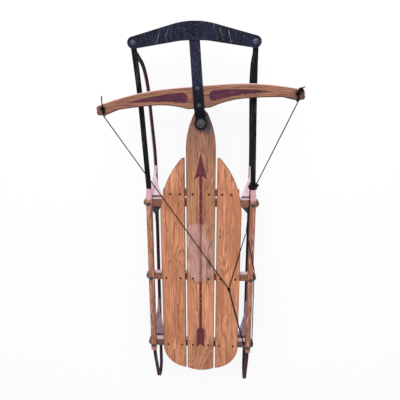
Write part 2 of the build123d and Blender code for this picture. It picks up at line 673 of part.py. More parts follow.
def rope_knots():
    """The wrap on the right iron and the knots, apart from each other."""
    inner_knot = bead(end_knot(INNER_KNOT_Y), END_KNOT_RADIUS)
    outer_knot = bead(end_knot(OUTER_KNOT_Y), END_KNOT_RADIUS)
    shapes = [rope_wrap(), bead(KNOT, KNOT_RADIUS), inner_knot, outer_knot]
    return Compound([shape.solid() for shape in shapes])


def rope_strands():
    """Strands along the right rail and over the deck, each from knot to knot."""
    deck = DECK_TOP + ROPE_LAY
    rail_top = BENCH_TOP + RAIL_HEIGHT + ROPE_LAY
    wrap_rear = WRAP_X - WRAP_LENGTH / 2 - FIT
    beside_rail = RAIL_INNER + ROPE_LAY
    split = (FRONT_BENCH_X - SPLIT_BEHIND, RAIL_INNER + SPLIT_INSET, deck)
    cross_x = split[0] - CROSS_START
    knot = (KNOT[0], KNOT[1], deck)
    inner_end = end_knot(INNER_KNOT_Y)
    outer_end = end_knot(OUTER_KNOT_Y)
    crossing = (cross_x - CROSS_LENGTH, RAIL_OUTER - ROPE_LAY, rail_top)
    # The last strand leaves the deck where it comes over the deck's edge
    share = (-DECK_EDGE - knot[1]) / (inner_end[1] - knot[1])
    leaving = (knot[0] + share * (inner_end[0] - knot[0]), -DECK_EDGE, deck)
    knot_short = KNOT_RADIUS + FIT
    end_short = END_KNOT_RADIUS + FIT
    routes = [
        [
            (wrap_rear, beside_rail, BENCH_TOP + ROPE_LAY),
            (wrap_rear - CLIMB_LENGTH, beside_rail, deck),
            split,
            (cross_x, beside_rail, rail_top),
            crossing,
            towards(crossing, outer_end, end_short),
        ],
        [towards(knot, split, SPLIT_SHORT), towards(split, knot, knot_short)],
        [towards(leaving, knot, knot_short), leaving, towards(leaving, inner_end, end_short)],
    ]
    return Compound([rope_line(route).solid() for route in routes])


def turned(shape, x, y, degrees):
    """A shape turned about an upright axis."""
    return shape.rotate(Axis((x, y, 0), (0, 0, 1)), degrees)


def steered(shape):
    return turned(shape, PIVOT_X, 0, STEER_REST)


def flexed(shape, side):
    return turned(shape, FLEX_X, SIDES[side] * HALF_TRACK, STEER_REST * IRON_RATIO)


def carried(shape):
    """Bumper pieces: hinged on the left end rivet, which the left iron carries."""
    shape = turned(shape, BUMPER_END_X, BUMPER_HALF_SPAN, STEER_REST * BUMPER_RATIO)
    return flexed(shape, "left")


# All pieces by name
pieces = {
    "deck_board_centre": centre_board(),
    "deck_cleat": deck_cleat(),
    "pivot_bolt": pivot_bolt(),
    "steering_strap": steered(steering_strap()),
    "steering_bar": steered(steering_bar()),
    "bumper_plate": carried(bumper_plate()),
    "bumper_rivet_centre": carried(bumper_centre_rivet()),
    "rope_left": rope_left(),
    "rope_right": rope_right(),
    "rope_strands": rope_strands(),
    "rope_knots": rope_knots(),
}
for bench_name in BENCH_X:
    pieces[f"bench_{bench_name}"] = bench(bench_name)
for side_name in SIDES:
    pieces[f"deck_board_{side_name}"] = on_side(side_board(), side_name)
    pieces[f"side_rail_{side_name}"] = on_side(side_rail(), side_name)
    pieces[f"runner_{side_name}"] = on_side(runner(), side_name)
    pieces[f"iron_root_{side_name}"] = on_side(iron_root(), side_name)
    for bench_name in ("front", "rear"):
        pieces[f"knee_{bench_name}_{side_name}"] = on_side(knee(bench_name), side_name)
    pieces[f"runner_front_{side_name}"] = flexed(on_side(runner_front(), side_name), side_name)
    pieces[f"iron_front_{side_name}"] = flexed(on_side(iron_front(), side_name), side_name)
    pieces[f"bumper_rivet_{side_name}"] = flexed(on_side(bumper_end_rivet(), side_name), side_name)

os.makedirs("parts", exist_ok=True)
for piece_name, piece in pieces.items():
    export_step(piece, f"parts/{piece_name}.step")
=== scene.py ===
import json
import math

import bmesh
import bpy
from mathutils import Matrix, Vector


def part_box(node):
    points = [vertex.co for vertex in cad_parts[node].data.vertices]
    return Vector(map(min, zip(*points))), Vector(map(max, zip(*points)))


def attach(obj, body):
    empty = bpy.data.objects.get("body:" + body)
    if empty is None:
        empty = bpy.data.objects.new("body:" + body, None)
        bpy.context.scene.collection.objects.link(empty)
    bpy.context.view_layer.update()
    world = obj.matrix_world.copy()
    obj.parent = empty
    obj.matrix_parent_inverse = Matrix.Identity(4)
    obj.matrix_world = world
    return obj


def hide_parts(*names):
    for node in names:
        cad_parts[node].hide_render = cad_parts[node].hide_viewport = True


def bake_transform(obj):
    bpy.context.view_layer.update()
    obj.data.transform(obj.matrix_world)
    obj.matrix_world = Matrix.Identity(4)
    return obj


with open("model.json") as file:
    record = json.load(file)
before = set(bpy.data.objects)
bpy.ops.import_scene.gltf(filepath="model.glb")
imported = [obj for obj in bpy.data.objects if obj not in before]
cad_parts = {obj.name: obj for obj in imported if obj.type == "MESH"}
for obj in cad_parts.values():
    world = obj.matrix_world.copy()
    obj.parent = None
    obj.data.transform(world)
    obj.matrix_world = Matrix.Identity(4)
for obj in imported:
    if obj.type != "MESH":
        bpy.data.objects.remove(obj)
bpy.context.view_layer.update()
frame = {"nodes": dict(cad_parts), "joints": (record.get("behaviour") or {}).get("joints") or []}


# Deck boards
# Planed oak boards, varnished clear and screwed down on the benches: a short one on each side, with its
# front cut to a curve. The varnish has gone dull, the pores are dark with dirt and the edges are grimy.


def linear(code):
    """Linear colour of an sRGB hex value."""
    channels = [int(code[place : place + 2], 16) / 255 for place in (1, 3, 5)]
    curve = [c / 12.92 if c <= 0.04045 else ((c + 0.055) / 1.055) ** 2.4 for c in channels]
    return (*curve, 1.0)


def put(tree, kind, inputs=(), **settings):
    """Adds a node with its settings. Inputs go by the sockets' names or numbers, or as a list in order.

    An input is a value, or the node or socket that feeds it.
    """
    node = tree.nodes.new(kind)
    for name, value in settings.items():
        setattr(node, name, value)
    numbered = inputs if isinstance(inputs, dict) else dict(enumerate(inputs))
    for key, value in numbered.items():
        if isinstance(value, bpy.types.Node):
            value = value.outputs[0]
        if isinstance(value, bpy.types.NodeSocket):
            tree.links.new(value, node.inputs[key])
        else:
            node.inputs[key].default_value = value
    return node


def start_finish(name, **sockets):
    """A new material with the constant numbers of its shader."""
    material = bpy.data.materials.new(name)
    material.use_nodes = True
    shader = material.node_tree.nodes["Principled BSDF"]
    for socket, value in sockets.items():
        shader.inputs[socket.replace("_", " ")].default_value = value
    return material, material.node_tree, shader


def object_millimetres(tree):
    """The piece's own coordinates, in millimetres."""
    place = put(tree, "ShaderNodeTexCoord").outputs["Object"]
    return put(tree, "ShaderNodeVectorMath", {0: place, "Scale": 1000.0}, operation="SCALE")


def speckle(tree, place, size, detail=2.0, shift=0.0):
    """Noise whose blotches are about the given millimetres along X, Y and Z."""
    spread = {"Vector": place, "Scale": tuple(1 / s for s in size), "Location": (shift, shift, shift)}
    mapped = put(tree, "ShaderNodeMapping", spread)
    return put(tree, "ShaderNodeTexNoise", {"Vector": mapped, "Scale": 1.0, "Detail": detail})


# Settings of a Map Range node that steps softly from one value to another
SOFT_STEP = {"interpolation_type": "SMOOTHSTEP"}


def blotches(tree, place, size, limits, depths=(0.0, 1.0), detail=2.0, shift=0.0):
    """A mask of soft blotches, which goes between its depths as the noise goes between its limits."""
    noise = speckle(tree, place, size, detail, shift)
    return put(tree, "ShaderNodeMapRange", [noise, *limits, *depths], **SOFT_STEP)


def oak(name, tones, heart, wander=(420, 14, 14), edges=None, top=None):
    """Oak sawn along X. Tones are its pale, middle and dark hex; heart is the log's pith, Y and Z.

    Wander is how long the pith's bends are and how far they go in Y and Z. Edges, a middle and a half
    width in Y, are grimy; so is the bevel below the height of the top.
    """
    # Oak gives the eye arched dark rings, fine dashes of pores and, worn dull, a soft broad sheen
    material, tree, shader = start_finish(name, IOR=1.5, Specular_IOR_Level=0.3)
    place = object_millimetres(tree)
    pale, middle, dark = (linear(tone) for tone in tones)

    # Growth rings about a pith that wanders along the log, which gives the long arches of the figure
    length, sideways, upwards = wander
    drift = speckle(tree, place, (length, 120, 120), shift=heart[0] / 10)
    widest = (0, 2 * sideways, 2 * upwards)
    least = (0, -sideways - heart[0], -upwards - heart[1])
    swing = [drift.outputs["Color"], widest, least]
    offset = put(tree, "ShaderNodeVectorMath", swing, operation="MULTIPLY_ADD")
    moved = put(tree, "ShaderNodeVectorMath", [place, offset], operation="ADD")
    cross = put(tree, "ShaderNodeVectorMath", [moved, (0, 1, 1)], operation="MULTIPLY")
    radius = put(tree, "ShaderNodeVectorMath", [cross], operation="LENGTH").outputs["Value"]
    count = put(tree, "ShaderNodeMath", [radius, RING_WIDTH], operation="DIVIDE")
    # Wet and dry years differ, so the rings are uneven and fade in and out
    uneven = speckle(tree, place, (130, 11, 11), detail=3.0, shift=2.0)
    years = put(tree, "ShaderNodeMath", [uneven, RING_UNEVEN, count], operation="MULTIPLY_ADD")
    ring = put(tree, "ShaderNodeMath", [years], operation="FRACT")
    ramp = put(tree, "ShaderNodeValToRGB", {"Fac": ring})
    ramp.color_ramp.elements[0].color = pale
    ramp.color_ramp.elements[1].color = pale
    ramp.color_ramp.elements.new(0.45).color = middle
    ramp.color_ramp.elements.new(0.82).color = dark
    ramp.color_ramp.elements.new(0.93).color = middle
    faint = blotches(tree, place, (150, 13, 13), (0.38, 0.62), (0.0, 0.6), shift=9.0)
    figure = put(tree, "ShaderNodeMixRGB", {"Fac": faint, "Color1": ramp, "Color2": middle})

    # Fibres and open pores run along the board; both are drawn coarser than life so that they show
    fibre = speckle(tree, place, (110, 3.4, 3.4), detail=4.0)
    tone = put(tree, "ShaderNodeMapRange", [fibre, 0.3, 0.7, 0.66, 1.14], **SOFT_STEP)
    mixing = {"Fac": 0.85, "Color1": figure, "Color2": tone}
    fibred = put(tree, "ShaderNodeMixRGB", mixing, blend_type="MULTIPLY")
    pore = blotches(tree, place, (17, 2.6, 2.6), (0.58, 0.65), shift=7.0)
    pore_patch = blotches(tree, place, (110, 24, 24), (0.4, 0.62), (0.0, 0.75), shift=15.0)
    pore_depth = put(tree, "ShaderNodeMath", [pore, pore_patch], operation="MULTIPLY")
    pored = put(tree, "ShaderNodeMixRGB", {"Fac": pore_depth, "Color1": fibred, "Color2": linear("#70412C")})
    cloud = blotches(tree, place, (140, 34, 34), (0.35, 0.7), (0.0, 0.5), shift=3.0)
    colour = put(tree, "ShaderNodeMixRGB", {"Fac": cloud, "Color1": pored, "Color2": dark})

    if edges:
        middle_y, half = edges
        across = put(tree, "ShaderNodeSeparateXYZ", [place]).outputs["Y"]
        off = put(tree, "ShaderNodeMath", [across, middle_y], operation="SUBTRACT")
        reach = put(tree, "ShaderNodeMath", [off], operation="ABSOLUTE")
        rim = put(tree, "ShaderNodeMapRange", [reach, half - EDGE_GRIME, half, 0.0, 0.6], **SOFT_STEP)
        colour = put(tree, "ShaderNodeMixRGB", {"Fac": rim, "Color1": colour, "Color2": linear("#6B4238")})
    if top:
        level = put(tree, "ShaderNodeSeparateXYZ", [place]).outputs["Z"]
        bevel_run = [top - depth for depth in BEVEL_DIRT]
        bevel = put(tree, "ShaderNodeMapRange", [level, *bevel_run, 0.0, 0.75], **SOFT_STEP)
        colour = put(tree, "ShaderNodeMixRGB", {"Fac": bevel, "Color1": colour, "Color2": linear("#553528")})

    gloss = put(tree, "ShaderNodeMapRange", [fibre, 0.2, 0.8, 0.5, 0.72], **SOFT_STEP)
    tree.links.new(gloss.outputs[0], shader.inputs["Roughness"])
    relief = put(tree, "ShaderNodeMath", [fibre, pore], operation="SUBTRACT")
    bump = put(tree, "ShaderNodeBump", {"Height": relief, "Strength": 0.3, "Distance": 0.0004})
    tree.links.new(bump.outputs[0], shader.inputs["Normal"])
    return material, tree, shader, place, colour


def painted_over(tree, shader, colour, coats):
    """Lays coats of paint, each a hex and a mask, over a colour and gives the result to the shader."""
    for code, mask in coats:
        colour = put(tree, "ShaderNodeMixRGB", {"Fac": mask, "Color1": colour, "Color2": linear(code)})
    tree.links.new(colour.outputs[0], shader.inputs["Base Color"])


def dress(node, material):
    """Gives a solid of the frame its material."""
    frame["nodes"][node].data.materials.clear()
    frame["nodes"][node].data.materials.append(material)


# Sizes of patterns are in millimetres, and sizes of meshes further down are in metres.
# Rings are drawn about twice as wide as in most oak, so that they show.
RING_WIDTH = 4.2
RING_UNEVEN = 1.8
EDGE_GRIME = 3.5
BEVEL_DIRT = (0.1, 0.5)
BOARD_TONES = ("#DE9C76", "#D08C68", "#9C5E42")
BOARD_HEARTS = {"left": (74.0, 84.0), "right": (-88.0, 84.0)}
BOARD_WANDER = (380, 26, 30)
FRONT_DIRT = {"left": 0.5, "right": 0.15}
FRONT_DIRT_RUN = (30.0, 110.0)

# Oak planed and clear-varnished, which shows as warm orange brown with dark arches
for side, heart in BOARD_HEARTS.items():
    low, high = (corner * 1000 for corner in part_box(f"deck_board_{side}"))
    board_edges = ((low.y + high.y) / 2, (high.y - low.y) / 2)
    wood, tree, shader, place, colour = oak(
        f"oak_planed_and_varnished_{side}", BOARD_TONES, heart, BOARD_WANDER, board_edges, high.z
    )
    # The front of the board is streaked with dirt, the left one most
    ahead = put(tree, "ShaderNodeSeparateXYZ", [place]).outputs["X"]
    dirty_end = [ahead, *FRONT_DIRT_RUN, 0.0, FRONT_DIRT[side]]
    front = put(tree, "ShaderNodeMapRange", dirty_end, **SOFT_STEP)
    streaked = blotches(tree, place, (70, 4.0, 4.0), (0.42, 0.6), detail=4.0, shift=71.0)
    dirt = put(tree, "ShaderNodeMath", [front, streaked], operation="MULTIPLY")
    painted_over(tree, shader, colour, [("#6E3E34", dirt)])
    dress(f"deck_board_{side}", wood)

# Centre board
# The longest oak board, whose nose carries the steering, with a maroon arrow stencilled down its middle.
# Between the front and middle benches the varnish is rubbed off to a pale patch.

CENTRE_TONES = ("#C8906E", "#B87F60", "#80523C")
CENTRE_HEART = (-14.0, 88.0)
CENTRE_WANDER = (300, 30, 26)
MAROON = "#571A2E"
BRUSH_ROUGH = 0.8
ARROW_TIP = 254.0
BARB_X = 173.0
BARB_HALF = 19.0
BARB_SWEEP = 0.6
ARROW_SOFT = 1.2
SHAFT_HALF = 5.0
SHAFT_END = -337.0
VANE_START = -334.0
VANE_END = -413.5
VANE_HALF = 14.0
VANE_SLOPE = 1.6
VANE_NOTCH = 1.0
PATCH_FRONT = 32.0
PATCH_ROUND = -107.0
PATCH_HALF = 43.0
PATCH_DEPTH = 62.0
PATCH_RAGGED = 30.0
PATCH_RIM = (1.04, 0.98)
PATCH_SOFT = 4.0
# Where across the board the patch's front falls back, from and to, and how far, from and to
PATCH_LATE = ((-10.0, -24.0, 0.0, 58.0), (28.0, 44.0, 0.0, 12.0))
PATCH_THIN_RIGHT = (-8.0, -30.0)
PATCH_DIRTY_RIGHT = (-12.0, -26.0)
DRY_FACTOR = (1.46, 1.36, 1.3, 1.0)
DRY_FRONT = (-150.0, -185.0)
DRY_REAR = (-400.0, -345.0)
NOSE_DARK_FACTOR = (0.6, 0.62, 0.72, 1.0)
NOSE_DARK_RUN = (170.0, 320.0)
STAIN_RAGGED = 24.0
STAIN_RADII = (20.0, 6.0)
RUST_PLACE = (342.0, -22.0)
RUST_RAGGED = 20.0
RUST_RADII = (11.0, 1.0)
RUST_STRETCH = 2.0


def joint_place(name):
    """Where a joint of the frame turns, in metres."""
    return Vector(next(joint["pos_m"] for joint in frame["joints"] if joint["name"] == name))


# Oak planed and clear-varnished, browner than the side boards; the stencil paint lies flat and dull on it
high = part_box("deck_board_centre")[1] * 1000
wood, tree, shader, place, colour = oak(
    "oak_planed_and_varnished_centre", CENTRE_TONES, CENTRE_HEART, CENTRE_WANDER, (0.0, high.y), high.z
)
# The brush left the edges of the arrow a little rough
rough = speckle(tree, place, (9, 3, 3), shift=11.0)
widest = Vector((BRUSH_ROUGH, BRUSH_ROUGH, 0))
wobble = [rough.outputs["Color"], 2 * widest, -widest]
shaken = put(tree, "ShaderNodeVectorMath", wobble, operation="MULTIPLY_ADD")
brushed = put(tree, "ShaderNodeVectorMath", [place, shaken], operation="ADD")
axes = put(tree, "ShaderNodeSeparateXYZ", [brushed])
ahead = axes.outputs["X"]
lateral = axes.outputs["Y"]
off = put(tree, "ShaderNodeMath", [lateral], operation="ABSOLUTE")


def behind_edge(middle, slope):
    """How far a point lies behind a straight edge, given by its place at the middle and its slope."""
    edge = put(tree, "ShaderNodeMath", [off, slope, middle], operation="MULTIPLY_ADD")
    return put(tree, "ShaderNodeMath", [edge, ahead], operation="SUBTRACT")


def ahead_of_edge(middle, slope):
    """How far a point lies ahead of a straight edge."""
    return put(tree, "ShaderNodeMath", [behind_edge(middle, slope), -1.0], operation="MULTIPLY")


def within(half):
    """How far a point lies inside a strip along the middle of the board."""
    return put(tree, "ShaderNodeMath", [half, off], operation="SUBTRACT")


def fold(operation, depths):
    """The least or the greatest of several depths."""
    result = depths[0]
    for depth in depths[1:]:
        result = put(tree, "ShaderNodeMath", [result, depth], operation=operation)
    return result


head_front = behind_edge(ARROW_TIP, -(ARROW_TIP - BARB_X) / BARB_HALF)
head_rear = ahead_of_edge(BARB_X + BARB_SWEEP * BARB_HALF, -BARB_SWEEP)
head = fold("MINIMUM", [head_front, head_rear])
shaft_front = behind_edge(BARB_X + BARB_HALF, 0.0)
shaft = fold("MINIMUM", [within(SHAFT_HALF), shaft_front, ahead_of_edge(SHAFT_END, 0.0)])
vane_front = behind_edge(VANE_START + SHAFT_HALF * VANE_SLOPE, -VANE_SLOPE)
vane_rear = ahead_of_edge(VANE_END + VANE_NOTCH * VANE_HALF, -VANE_NOTCH)
vane = fold("MINIMUM", [within(VANE_HALF), vane_front, vane_rear])
arrow_depth = fold("MAXIMUM", [head, shaft, vane])
arrow = put(tree, "ShaderNodeMapRange", [arrow_depth, 0.0, ARROW_SOFT], **SOFT_STEP)
worn = blotches(tree, place, (9, 4, 4), (0.34, 0.46), (0.6, 1.0), detail=4.0, shift=21.0)

# The rubbed patch is ragged in front, where it starts further back on the right, and round behind
round_x = put(tree, "ShaderNodeMath", [PATCH_ROUND, ahead], operation="SUBTRACT")
round_share = put(tree, "ShaderNodeMath", [round_x, 1 / PATCH_DEPTH], operation="MULTIPLY")
round_back = put(tree, "ShaderNodeMath", [round_share, 0.0], operation="MAXIMUM")
width_share = put(tree, "ShaderNodeMath", [off, 1 / PATCH_HALF], operation="MULTIPLY")
oval = put(tree, "ShaderNodeCombineXYZ", {"X": round_back, "Y": width_share})
oval_reach = put(tree, "ShaderNodeVectorMath", [oval], operation="LENGTH").outputs["Value"]
inside = put(tree, "ShaderNodeMapRange", [oval_reach, *PATCH_RIM], **SOFT_STEP)
streak = speckle(tree, place, (60, 7, 7), detail=3.0, shift=31.0)
ragged = [streak, PATCH_RAGGED, PATCH_FRONT - PATCH_RAGGED / 2]
front_edge = put(tree, "ShaderNodeMath", ragged, operation="MULTIPLY_ADD")
for fall_back in PATCH_LATE:
    late = put(tree, "ShaderNodeMapRange", [lateral, *fall_back], **SOFT_STEP)
    front_edge = put(tree, "ShaderNodeMath", [front_edge, late], operation="SUBTRACT")
front_gap = put(tree, "ShaderNodeMath", [front_edge, ahead], operation="SUBTRACT")
front_side = put(tree, "ShaderNodeMapRange", [front_gap, 0.0, PATCH_SOFT], **SOFT_STEP)
patch = put(tree, "ShaderNodeMath", [inside, front_side], operation="MULTIPLY")
rubbed = blotches(tree, place, (46, 3.2, 3.2), (0.36, 0.62), (0.25, 1.0), detail=4.0, shift=37.0)
mottled = blotches(tree, place, (34, 13, 13), (0.34, 0.56), (0.45, 1.0), detail=3.0, shift=51.0)
less_right = put(tree, "ShaderNodeMapRange", [lateral, *PATCH_THIN_RIGHT, 1.0, 0.62], **SOFT_STEP)
patch_mask = patch
for thinned in (rubbed, mottled, less_right):
    patch_mask = put(tree, "ShaderNodeMath", [patch_mask, thinned], operation="MULTIPLY")
dirt = blotches(tree, place, (42, 8, 8), (0.46, 0.62), (0.0, 0.65), detail=3.0, shift=61.0)
dirty_right = put(tree, "ShaderNodeMapRange", [lateral, *PATCH_DIRTY_RIGHT, 0.15, 1.0], **SOFT_STEP)
smudge = put(tree, "ShaderNodeMath", [dirt, dirty_right], operation="MULTIPLY")
smudge_mask = put(tree, "ShaderNodeMath", [smudge, patch], operation="MULTIPLY")
kept_paint = put(tree, "ShaderNodeMapRange", [patch, 0.0, 1.0, 1.0, 0.66], **SOFT_STEP)
arrow_mask = put(tree, "ShaderNodeMath", [arrow, worn], operation="MULTIPLY")
arrow_mask = put(tree, "ShaderNodeMath", [arrow_mask, kept_paint], operation="MULTIPLY")

# Behind the patch the board has dried paler, and towards its nose it is painted darker
dry_front = put(tree, "ShaderNodeMapRange", [ahead, *DRY_FRONT], **SOFT_STEP)
dry_rear = put(tree, "ShaderNodeMapRange", [ahead, *DRY_REAR, 0.5, 1.0], **SOFT_STEP)
dry = put(tree, "ShaderNodeMath", [dry_front, dry_rear], operation="MULTIPLY")
nose_darkening = put(tree, "ShaderNodeMapRange", [ahead, *NOSE_DARK_RUN], **SOFT_STEP)
# Grease and rust from the pivot bolt have stained the nose
pivot = joint_place("steer") * 1000
nose = [brushed, (pivot.x, pivot.y, high.z)]
from_bolt = put(tree, "ShaderNodeVectorMath", nose, operation="DISTANCE").outputs["Value"]
ragged = speckle(tree, place, (14, 7, 7), detail=4.0, shift=41.0)
smear = put(tree, "ShaderNodeMath", [ragged, -STAIN_RAGGED, from_bolt], operation="MULTIPLY_ADD")
stain = put(tree, "ShaderNodeMapRange", [smear, *STAIN_RADII, 0.0, 0.85], **SOFT_STEP)
rust_run = put(tree, "ShaderNodeVectorMath", [brushed, (*RUST_PLACE, high.z)], operation="SUBTRACT")
squeeze = (1 / RUST_STRETCH, 1.0, 0.0)
squeezed = put(tree, "ShaderNodeVectorMath", [rust_run, squeeze], operation="MULTIPLY")
from_rust = put(tree, "ShaderNodeVectorMath", [squeezed], operation="LENGTH").outputs["Value"]
spread = put(tree, "ShaderNodeMath", [ragged, -RUST_RAGGED, from_rust], operation="MULTIPLY_ADD")
rust = put(tree, "ShaderNodeMapRange", [spread, *RUST_RADII, 0.0, 0.85], **SOFT_STEP)
for mask, factor in ((dry, DRY_FACTOR), (nose_darkening, NOSE_DARK_FACTOR)):
    mixing = {"Fac": mask, "Color1": colour, "Color2": factor}
    colour = put(tree, "ShaderNodeMixRGB", mixing, blend_type="MULTIPLY")
coats = [("#C69D98", patch_mask), ("#4E3E3C", smudge_mask), (MAROON, arrow_mask)]
coats += [("#43343C", rust), ("#2A2024", stain)]
painted_over(tree, shader, colour, coats)
dress("deck_board_centre", wood)

# Benches and cleat
# Three oak cross-pieces carry the boards and the rails, and a cleat under the front holds the boards
# level. They were never varnished, so they are duller than the deck, and their ends have greyed. Their
# front faces are painted pale pink as a highlight from the light ahead.

FRAME_TONES = ("#B98060", "#A66F52", "#74493A")
# For each cross-piece, where its pith lies along the sled, and how deep its grey patches go, from least to
# most
CROSS_PIECES = {
    "bench_front": (155.0, (0.0, 0.3)),
    "bench_mid": (-95.0, (0.0, 0.3)),
    "bench_rear": (-335.0, (0.45, 0.9)),
    "deck_cleat": (75.0, (0.0, 0.3)),
}
PITH_HEIGHT = 60.0
FACE_SKIN = (0.6, 0.2)
END_GRAIN = (14.0, 6.0)

# Oak sawn and left bare, which greys: dull brown, front faces painted pale pink as a highlight, dark end
# grain
for node, (heart_x, grey_depth) in CROSS_PIECES.items():
    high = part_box(node)[1] * 1000
    wood, tree, shader, place, colour = oak(f"oak_unvarnished_{node}", FRAME_TONES, (heart_x, PITH_HEIGHT))
    # The grain of a cross-piece runs across the sled
    quarter = {"Vector": place, "Angle": math.pi / 2}
    turn = put(tree, "ShaderNodeVectorRotate", quarter, rotation_type="Z_AXIS")
    for link in [link for link in tree.links if link.from_node == place and link.to_node != turn]:
        tree.links.new(turn.outputs[0], link.to_socket)
    axes = put(tree, "ShaderNodeSeparateXYZ", [place])
    # The front face is painted pale pink as a highlight from the light ahead
    skin = [high.x - depth for depth in FACE_SKIN]
    painted_glare = put(tree, "ShaderNodeMapRange", [axes.outputs["X"], *skin, 0.0, 0.85], **SOFT_STEP)
    reach = put(tree, "ShaderNodeMath", [axes.outputs["Y"]], operation="ABSOLUTE")
    ends = [high.y - depth for depth in END_GRAIN]
    end_grain = put(tree, "ShaderNodeMapRange", [reach, *ends, 0.0, 0.75], **SOFT_STEP)
    # Grey patches, painted much deeper on the rear bench, which makes it darker and greyer
    grimy = blotches(tree, place, (20, 14, 14), (0.3, 0.6), grey_depth, shift=6.0)
    painted_over(tree, shader, colour, [("#5E5054", grimy), ("#6A5A58", end_grain), ("#E2C6CE", painted_glare)])
    dress(node, wood)

# Side rails
# Two oak rails bolted on the bench ends, their front ends cut to a long bevel. The bevels are painted a
# pale pink as the glare of the light ahead on them.

RAIL_TONES = ("#C98A6C", "#B67658", "#87523F")
RAIL_PITH = (-40.0, 90.0)
BEVEL_LENGTH = 31.0
BEVEL_FADE = 3.0

# Oak planed and varnished, then weathered: blotched dark brown, pale pink blotches painted as highlights,
# almost no gloss
for side in ("left", "right"):
    low, high = (corner * 1000 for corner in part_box(f"side_rail_{side}"))
    rail_edges = ((low.y + high.y) / 2, (high.y - low.y) / 2)
    heart = (low.y + RAIL_PITH[0], RAIL_PITH[1])
    wood, tree, shader, place, colour = oak(
        f"oak_weathered_rail_{side}", RAIL_TONES, heart, edges=rail_edges
    )
    ahead = put(tree, "ShaderNodeSeparateXYZ", [place]).outputs["X"]
    # The bevel is painted pale pink, in patches, as glare from the light ahead
    bevel_run = (high.x - BEVEL_LENGTH, high.x - BEVEL_LENGTH + BEVEL_FADE)
    bevel = put(tree, "ShaderNodeMapRange", [ahead, *bevel_run, 0.0, 0.85], **SOFT_STEP)
    painted_glare = blotches(tree, place, (30, 4, 4), (0.25, 0.6), (0.6, 1.0), shift=5.0)
    bevel_glare = put(tree, "ShaderNodeMath", [bevel, painted_glare], operation="MULTIPLY")
    blotch = blotches(tree, place, (26, 7, 7), (0.46, 0.64), (0.0, 0.6), detail=4.0, shift=25.0)
    # Pale pink blotches painted as patchy highlights on the varnish
    pink_highlights = blotches(tree, place, (38, 6, 6), (0.5, 0.66), (0.0, 0.6), detail=4.0, shift=35.0)
    painted_over(tree, shader, colour, [("#6E3F38", blotch), ("#D3A49C", pink_highlights), ("#C898A4", bevel_glare)])
    dress(f"side_rail_{side}", wood)

# Knees
# Splayed legs pressed from sheet steel, painted and bolted under the benches, their feet riveted to the
# runners. Their paint is painted pale mauve as glare from the light ahead, with painted shade on the
# rear legs, under the benches and over the whole rear pair.


def chipped_paint(name, paint, faded, bare, chip_size, chip_share, shine=0.07):
    """Old paint on steel: two tones of paint, and chips down to bare or rusty metal.

    Chips have a size in millimetres and a share, which is larger where more of the paint is lost.
    """
    material, tree, shader = start_finish(name, IOR=1.5, Specular_IOR_Level=shine)
    place = object_millimetres(tree)
    cloud = blotches(tree, place, (40, 14, 30), (0.35, 0.68), detail=3.0)
    coat = put(tree, "ShaderNodeMixRGB", {"Fac": cloud, "Color1": linear(paint), "Color2": linear(faded)})
    chip_noise = speckle(tree, place, (chip_size, chip_size, chip_size), detail=4.0, shift=13.0)
    chips = put(tree, "ShaderNodeMapRange", [chip_noise, 1 - chip_share, 1.03 - chip_share], **SOFT_STEP)
    colour = put(tree, "ShaderNodeMixRGB", {"Fac": chips, "Color1": coat, "Color2": linear(bare)})
    gloss = put(tree, "ShaderNodeMapRange", [cloud, 0.0, 1.0, 0.45, 0.65], **SOFT_STEP)
    tree.links.new(gloss.outputs[0], shader.inputs["Roughness"])
    bump = put(tree, "ShaderNodeBump", {"Height": chips, "Strength": 0.5, "Distance": 0.0002}, invert=True)
    tree.links.new(bump.outputs[0], shader.inputs["Normal"])
    return material, tree, shader, place, colour


# Paint tones of each pair: pale mauve painted as glare from the light ahead, darker on the rear pair as
# painted shade
KNEE_PAINT = {"front": ("#E4CAD6", "#D0B2C0", "#7A5A62"), "rear": ("#B294A2", "#8E6E7C", "#4C343C")}
KNEE_CHIPS = (9.0, 0.34)
LEG_FADE = 14.0
CROWN = (9.0, 5.0)

# Sheet steel with chalky paint, painted pale mauve as glare, no gloss, with dark flakes
for row, tones in KNEE_PAINT.items():
    low, high = (corner * 1000 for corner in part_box(f"knee_{row}_left"))
    bench_x = (low.x + high.x) / 2
    knee_paint, tree, shader, place, colour = chipped_paint(
        f"sheet_steel_bleached_paint_{row}", *tones, *KNEE_CHIPS
    )
    axes = put(tree, "ShaderNodeSeparateXYZ", [place])
    # The leg behind the bench's middle is painted near black as shade
    leg_run = (bench_x, bench_x - LEG_FADE)
    rear_leg_shade = put(tree, "ShaderNodeMapRange", [axes.outputs["X"], *leg_run, 0.0, 0.95], **SOFT_STEP)
    # The top of the knee, under the bench, is painted dark purple as shade
    crown_run = [high.z - depth for depth in CROWN]
    crown_shade = put(tree, "ShaderNodeMapRange", [axes.outputs["Z"], *crown_run, 0.0, 0.85], **SOFT_STEP)
    painted_over(tree, shader, colour, [("#221A1E", rear_leg_shade), ("#4A2F3C", crown_shade)])
    for side in ("left", "right"):
        dress(f"knee_{row}_{side}", knee_paint)

# Runners
# Each runner is one length of T-section steel with a grooved sole, looped up behind and swept up in
# front. On the sled its front bends when steered; here it is one fixed piece. The maroon paint has gone
# nearly black.


def swept(name, section, stations, material):
    """A bar of one section along stations, each a point with its sideways and upward directions."""
    mesh = bmesh.new()
    rings = []
    for point, sideways, up in stations:
        rings.append([mesh.verts.new(point + sideways * across + up * rise) for across, rise in section])
    count = len(section)
    for first, second in zip(rings, rings[1:]):
        for k in range(count):
            mesh.faces.new((first[k], first[(k + 1) % count], second[(k + 1) % count], second[k]))
    for ring in (rings[0], rings[-1]):
        mesh.faces.new(ring)
    return made(name, mesh, material)


